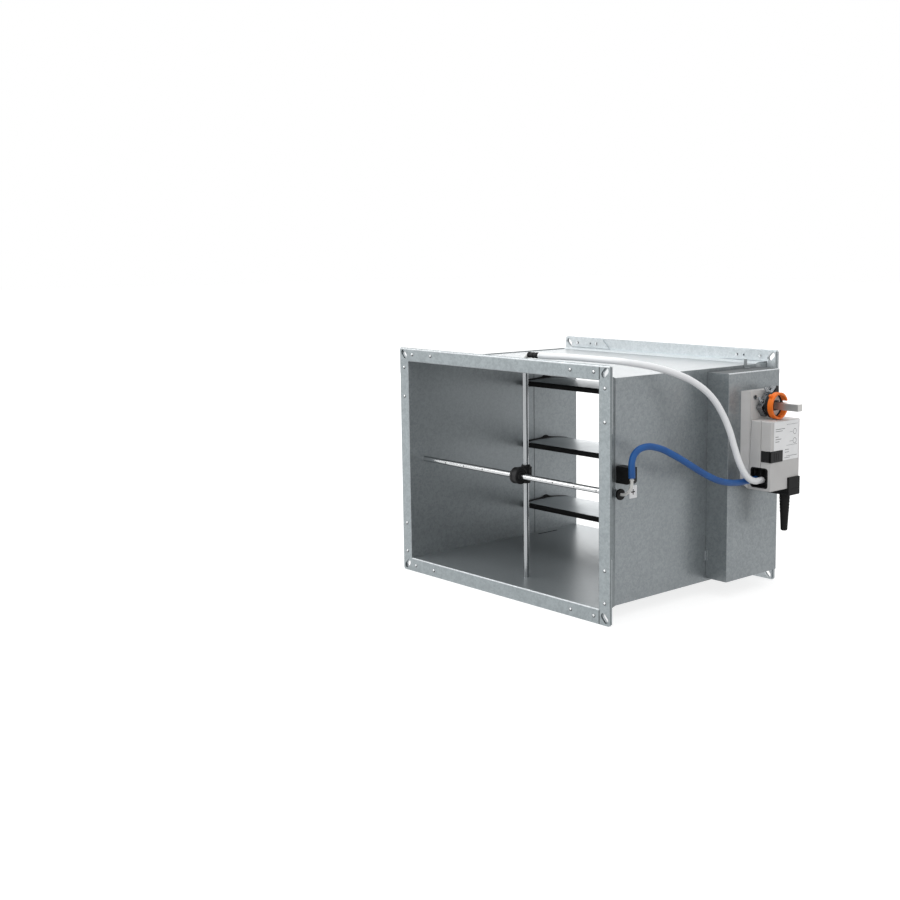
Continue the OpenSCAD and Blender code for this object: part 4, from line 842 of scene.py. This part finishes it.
def actuator_housing():
    """Housing with the groove under the shaft, the port pocket, the button's seat and its seams."""
    outline = [(249.8, HOUSING_Z0), (HOUSING_X, HOUSING_Z0), (HOUSING_X, HOUSING_Z1), (253.8, HOUSING_Z1)]
    shell = soften(drawn(outline, "y", ACTUATOR_Y0, ACTUATOR_Y1), 1.3, 4, where=lambda e: max(
        v.co.x for v in e.verts) > HOUSING_X - 1)
    cavity = drawn([(247, -14), (286, -14), (286, 77), (247, 77)], "y", ACTUATOR_Y0 + 2, ACTUATOR_Y1 - 2)
    groove = turned([(COVER_X, 0), (COVER_X, 21), (300, 21), (300, 0)], "x", (0, SHAFT_Y, SHAFT_Z), steps=72)
    pocket = drawn(rounded_outline(253, 283, -12.5, 16, 4), "y", ACTUATOR_Y0 - 2, 258)
    seat = box((279.7, ACTUATOR_Y0 - 2, 24.2), (292, 272.1, 40.3))
    corner = box((250, 283.9, -20), (292, 315, -0.1))
    seam = box((270, ACTUATOR_Y0 - 1, 15.5), (271, ACTUATOR_Y0 + 1.5, 90))
    shell = carved(shell, cavity, groove, pocket, seat, corner, seam)
    finished("actuator_housing_shell", shell, "casing", "grey_plastic", ["actuator_housing"])


def port_insert():
    """Black socket with round corners and its two nozzles."""
    body = drawn(rounded_outline(253.1, 282.9, -12.4, 15.9, 3.9), "y", 245.7, 258)
    well = drawn(rounded_outline(254.8, 281.2, -10.8, 14.3, 2.6), "y", 240, 255)
    socket = soften(carved(body, well), 0.35, 2, where=lambda e: max(v.co.y for v in e.verts) < 246)
    nozzles = [turned([(250.5, 0), (250.5, 1.9), (251.2, 2.5), (255.2, 2.5), (255.2, 0)], "y", (x, 0, -1.5), steps=24)
               for x in (259.5, 270)]
    rails = [soften(box((x - 0.6, 247, 5), (x + 0.6, 255.2, 13)), 0.3) for x in (259.5, 270)]
    finished("port_insert_socket", joined(socket, *nozzles, *rails), "casing", "black_plastic", ["port_insert"])


def release_button():
    """Angled button round the housing's front corner, with a chamfer and three grip lines."""
    face = soften(box((285, 245, 24.5), (289, 271.8, 40)), 0.9)
    side = soften(box((271.5, 245, 24.5), (288.6, 245.95, 40)), 0.4)
    grips = [soften(box((288.7, 252 + 5 * k, 27), (289.4, 253.2 + 5 * k, 37.5)), 0.3) for k in range(3)]
    finished("release_button_cap", joined(face, side, *grips), "button", "black_plastic", ["release_button"],
             material=button_black)


def actuator_label():
    """White label with plain generic lines, frames and two dials."""
    outline = [(252, 40.5), (272.3, 40.5), (272.3, 25.5), (308, 25.5), (308, 80), (252, 80)]
    sheet = soften(drawn(outline, "x", HOUSING_X, HOUSING_X + 0.3), 0.8, where=lambda e: abs(
        e.verts[0].co.x - e.verts[1].co.x) > 0.1)
    finished("actuator_label_film", sheet, "casing", "white_label", ["actuator_label"])
    x0, x1 = HOUSING_X + 0.28, HOUSING_X + 0.34
    bars = [(255, 276, 69.5, 70.3), (255, 271, 66.8, 67.5), (255, 262, 59, 59.8), (255, 268, 55.6, 56.4),
            (255, 264, 52.2, 53), (280, 305, 74.6, 75), (280, 305, 45.5, 45.9), (280, 305, 30.5, 31.1),
            (275, 289, 28.3, 28.9), (277, 286, 36, 36.7), (277, 286, 39.6, 40.3)]
    marks = [box((x0, y0, z0), (x1, y1, z1)) for y0, y1, z0, z1 in bars]
    for y, z in ((299, 64), (299, 51)):
        marks.append(turned([(x0, 3.4), (x1, 3.4), (x1, 4), (x0, 4)], "x", (0, y, z), steps=32, ring=True))
        marks.append(box((x0, y - 12, z - 0.2), (x1, y - 4.2, z + 0.2)))
    finished("label_marks", joined(*marks), "casing", "white_label", material=mark_ink)


def cable_entry():
    """Block in the housing's lower back corner, with a foot below the housing."""
    lower = soften(drawn([(286, -26), (310, -26), (310, -15.9), (284, -15.9), (284, -24)], "x", 253, 291), 1)
    upper = soften(box((250.4, 284.1, -16.4), (291, 310, -0.2)), 1)
    finished("cable_entry_block", joined(lower, upper), "casing", "black_plastic", ["cable_entry"],
             material=entry_black)


def cable_boot():
    """Tapered boot with a rounded end and shallow ribs near the housing."""
    tip = [(-79 + 2.2 - 2.2 * cos(radians(a)), 2.7 + 2.2 * sin(radians(a))) for a in range(0, 91, 15)]
    ribs = []
    for k in range(5):
        z = -52 + 4.6 * k
        r = 4.9 + (z + 79) * 2.6 / 53
        ribs += [(z, r), (z + 0.6, r + 0.35), (z + 1.8, r + 0.35), (z + 2.4, r + 0.1)]
    outline = [(-79, 0), *tip, *ribs, (-26, 7.5), (-25.8, 0)]
    finished("cable_boot_taper", turned(outline, "z", (274.5, 297, 0)), "casing", "seal_rubber", ["cable_boot"],
             crease=50)


actuator_base()
actuator_housing()
port_insert()
release_button()
actuator_label()
cable_entry()
cable_boot()


# ---------------------------------------------------------------- position ring and shaft clamp

def position_ring():
    """Open orange ring with its pointer and stop lugs, and the black collar behind it."""
    section = [(RING_X0 - 0.4, 15.8), (RING_X0 - 0.4, 18.3), (RING_X0, 18.75), (RING_X1 - 0.5, 18.75),
               (RING_X1, 18.25), (RING_X1, 16.25), (RING_X1 - 0.5, 15.8)]
    shape = bmesh.new()
    points = [shape.verts.new((along, radius, 0)) for along, radius in section]
    face = shape.faces.new(points)
    bmesh.ops.rotate(shape, cent=(0, 0, 0), matrix=Matrix.Rotation(radians(21.5), 3, "X"), verts=shape.verts)
    bmesh.ops.spin(shape, geom=[face, *face.edges, *points], cent=(0, 0, 0), axis=(1, 0, 0), dvec=(0, 0, 0),
                   angle=radians(317), steps=72, use_merge=False)
    bmesh.ops.remove_doubles(shape, verts=shape.verts, dist=1e-4)
    bmesh.ops.recalc_face_normals(shape, faces=shape.faces)
    pointer = moved(soften(box((RING_X0, 17.4, -2), (RING_X0 + 4, 22.25, 2)), 0.6), radians(135))
    lugs = [moved(soften(box((RING_X0 + 1, 14.6, -1.6), (RING_X1 - 1, 16.4, 1.6)), 0.5), radians(a))
            for a in (70, 180, 290)]
    whole = moved(joined(shape, pointer, *lugs), 0, (0, SHAFT_Y, SHAFT_Z))
    finished("position_ring_moulding", whole, "top_blade", "orange_plastic", ["position_ring"])
    collar = turned([(COLLAR_X, 15.9), (COLLAR_X, 17.3), (COLLAR_X + 0.4, 17.7), (RING_X0 - 0.4, 17.7),
                     (RING_X0 - 0.4, 15.9)], "x", (0, SHAFT_Y, SHAFT_Z), steps=64, ring=True)
    finished("position_ring_collar", collar, "top_blade", "black_plastic", ["position_ring"])


def clamp_strip():
    """Strip bent to a V, with a round bend and two slots in its long arm."""
    along = [(43, 0), (3.2, 0), (1.6, -0.2), (0.5, -0.8), (0, -1.9)]
    outline = along + [(0, -18), (2.5, -18), (2.5, -2.9), (3.0, -2.5), (43, -2.5)]
    arm = soften(drawn(outline, "x", STRIP_X0, STRIP_X1), 0.35, 2)
    slots = [box((BOLT_X - 1.1, start, -5), (BOLT_X + 1.1, start + 7, 3)) for start in (9, 31)]
    shape = carved(arm, *slots)
    whole = moved(moved(shape, STRIP_ANGLE, (0, -23.9, -2)), 0, (0, SHAFT_Y, SHAFT_Z))
    finished("clamp_strip_bent", whole, "top_blade", "bright_steel", ["clamp_strip"])


def clamp_bolt():
    """Bolt bent round the shaft, with threads on both legs."""
    bend = [(0, BOLT_REACH * cos(radians(a)), -BOLT_REACH * sin(radians(a))) for a in range(0, 181, 9)]
    legs = [[(0, side * BOLT_REACH, 12), (0, side * BOLT_REACH, 4)] for side in (1, -1)]
    parts = [swept([*legs[0], *bend[1:-1], *reversed(legs[1])], BOLT_RADIUS)]
    thread = [(10, 0), (10, 1.8)]
    for k in range(20):
        thread += [(10.2 + 0.72 * k, 1.72), (10.56 + 0.72 * k, 2.0)]
    thread += [(24.6, 1.6), (25, 1.2), (25, 0)]
    for side in (-1, 1):
        parts.append(turned(thread, "z", (0, side * BOLT_REACH, 0), steps=20))
    whole = moved(moved(joined(*parts), STRIP_ANGLE), 0, (BOLT_X, SHAFT_Y, SHAFT_Z))
    finished("clamp_bolt_bent", whole, "top_blade", "bright_steel", ["clamp_bolt"], crease=60)


def clamp_nuts():
    """Chamfered hexagon nuts with washers."""
    parts = []
    for side in (-1, 1):
        nut = bmesh.new()
        bmesh.ops.create_cone(nut, cap_ends=True, segments=6, radius1=4.04, radius2=4.04, depth=3.2)
        nut = soften(moved(nut, 0, (0, side * BOLT_REACH, 16.1)), 0.35, 2)
        washer = turned([(13.9, 2.2), (13.9, 4.6), (14.5, 4.6), (14.5, 2.2)], "z", (0, side * BOLT_REACH, 0),
                        ring=True)
        parts += [nut, washer]
    whole = moved(moved(joined(*parts), STRIP_ANGLE), 0, (BOLT_X, SHAFT_Y, SHAFT_Z))
    finished("clamp_nuts_hex", whole, "top_blade", "bright_steel", ["clamp_nuts"])


position_ring()
clamp_strip()
clamp_bolt()
clamp_nuts()


# ---------------------------------------------------------------- solids that are shown as they are

# Width of the rounded edges, in millimetres. The flange profiles get the usual one, and solids without one stay sharp.
USUAL_ROUNDING = 0.35
rounding = {"duct_casing": 0.25, "linkage_cover": 0.6, "drive_shaft": 0.5, "middle_shaft": 0.5, "bottom_shaft": 0.5,
            "corner_plates": 0.3, "top_blade_caps": 0.35, "middle_blade_caps": 0.35, "bottom_blade_caps": 0.35,
            "cover_clips": 0.3, "connecting_rod": 0.4, "wall_bushes": 0.4, "ring_disc": 0.3, "drive_hub": 0.4,
            "motor_gearbox": 0.8, "pressure_sensor": 0.5}
special = {"flange_rivets": rivet_steel, "linkage_cover": cover_sheet, "corner_plates": back_profile_painted_light,
           "upright_tube": upright_aluminium_painted_shade}
special.update({f"outlet_{side}_profile": back_profile_painted_light for side in ("top", "bottom", "left", "right")})
for name, solid in frame["nodes"].items():
    for held in solid.material_slots:
        held.material = special.get(name) or finishes[held.material.name.split(".")[0]]
    if name in rounding or name.endswith("_profile"):
        weld = solid.modifiers.new("weld", "WELD")
        weld.merge_threshold = 0.000002
        flat = solid.modifiers.new("flat_faces", "DECIMATE")
        flat.decimate_type = "DISSOLVE"
        flat.angle_limit = radians(0.5)
        bevel = solid.modifiers.new("rounded_edges", "BEVEL")
        bevel.width = rounding.get(name, USUAL_ROUNDING) / 1000
        bevel.segments = 2
        bevel.limit_method = "ANGLE"
        bevel.angle_limit = radians(40)
        bevel.harden_normals = True
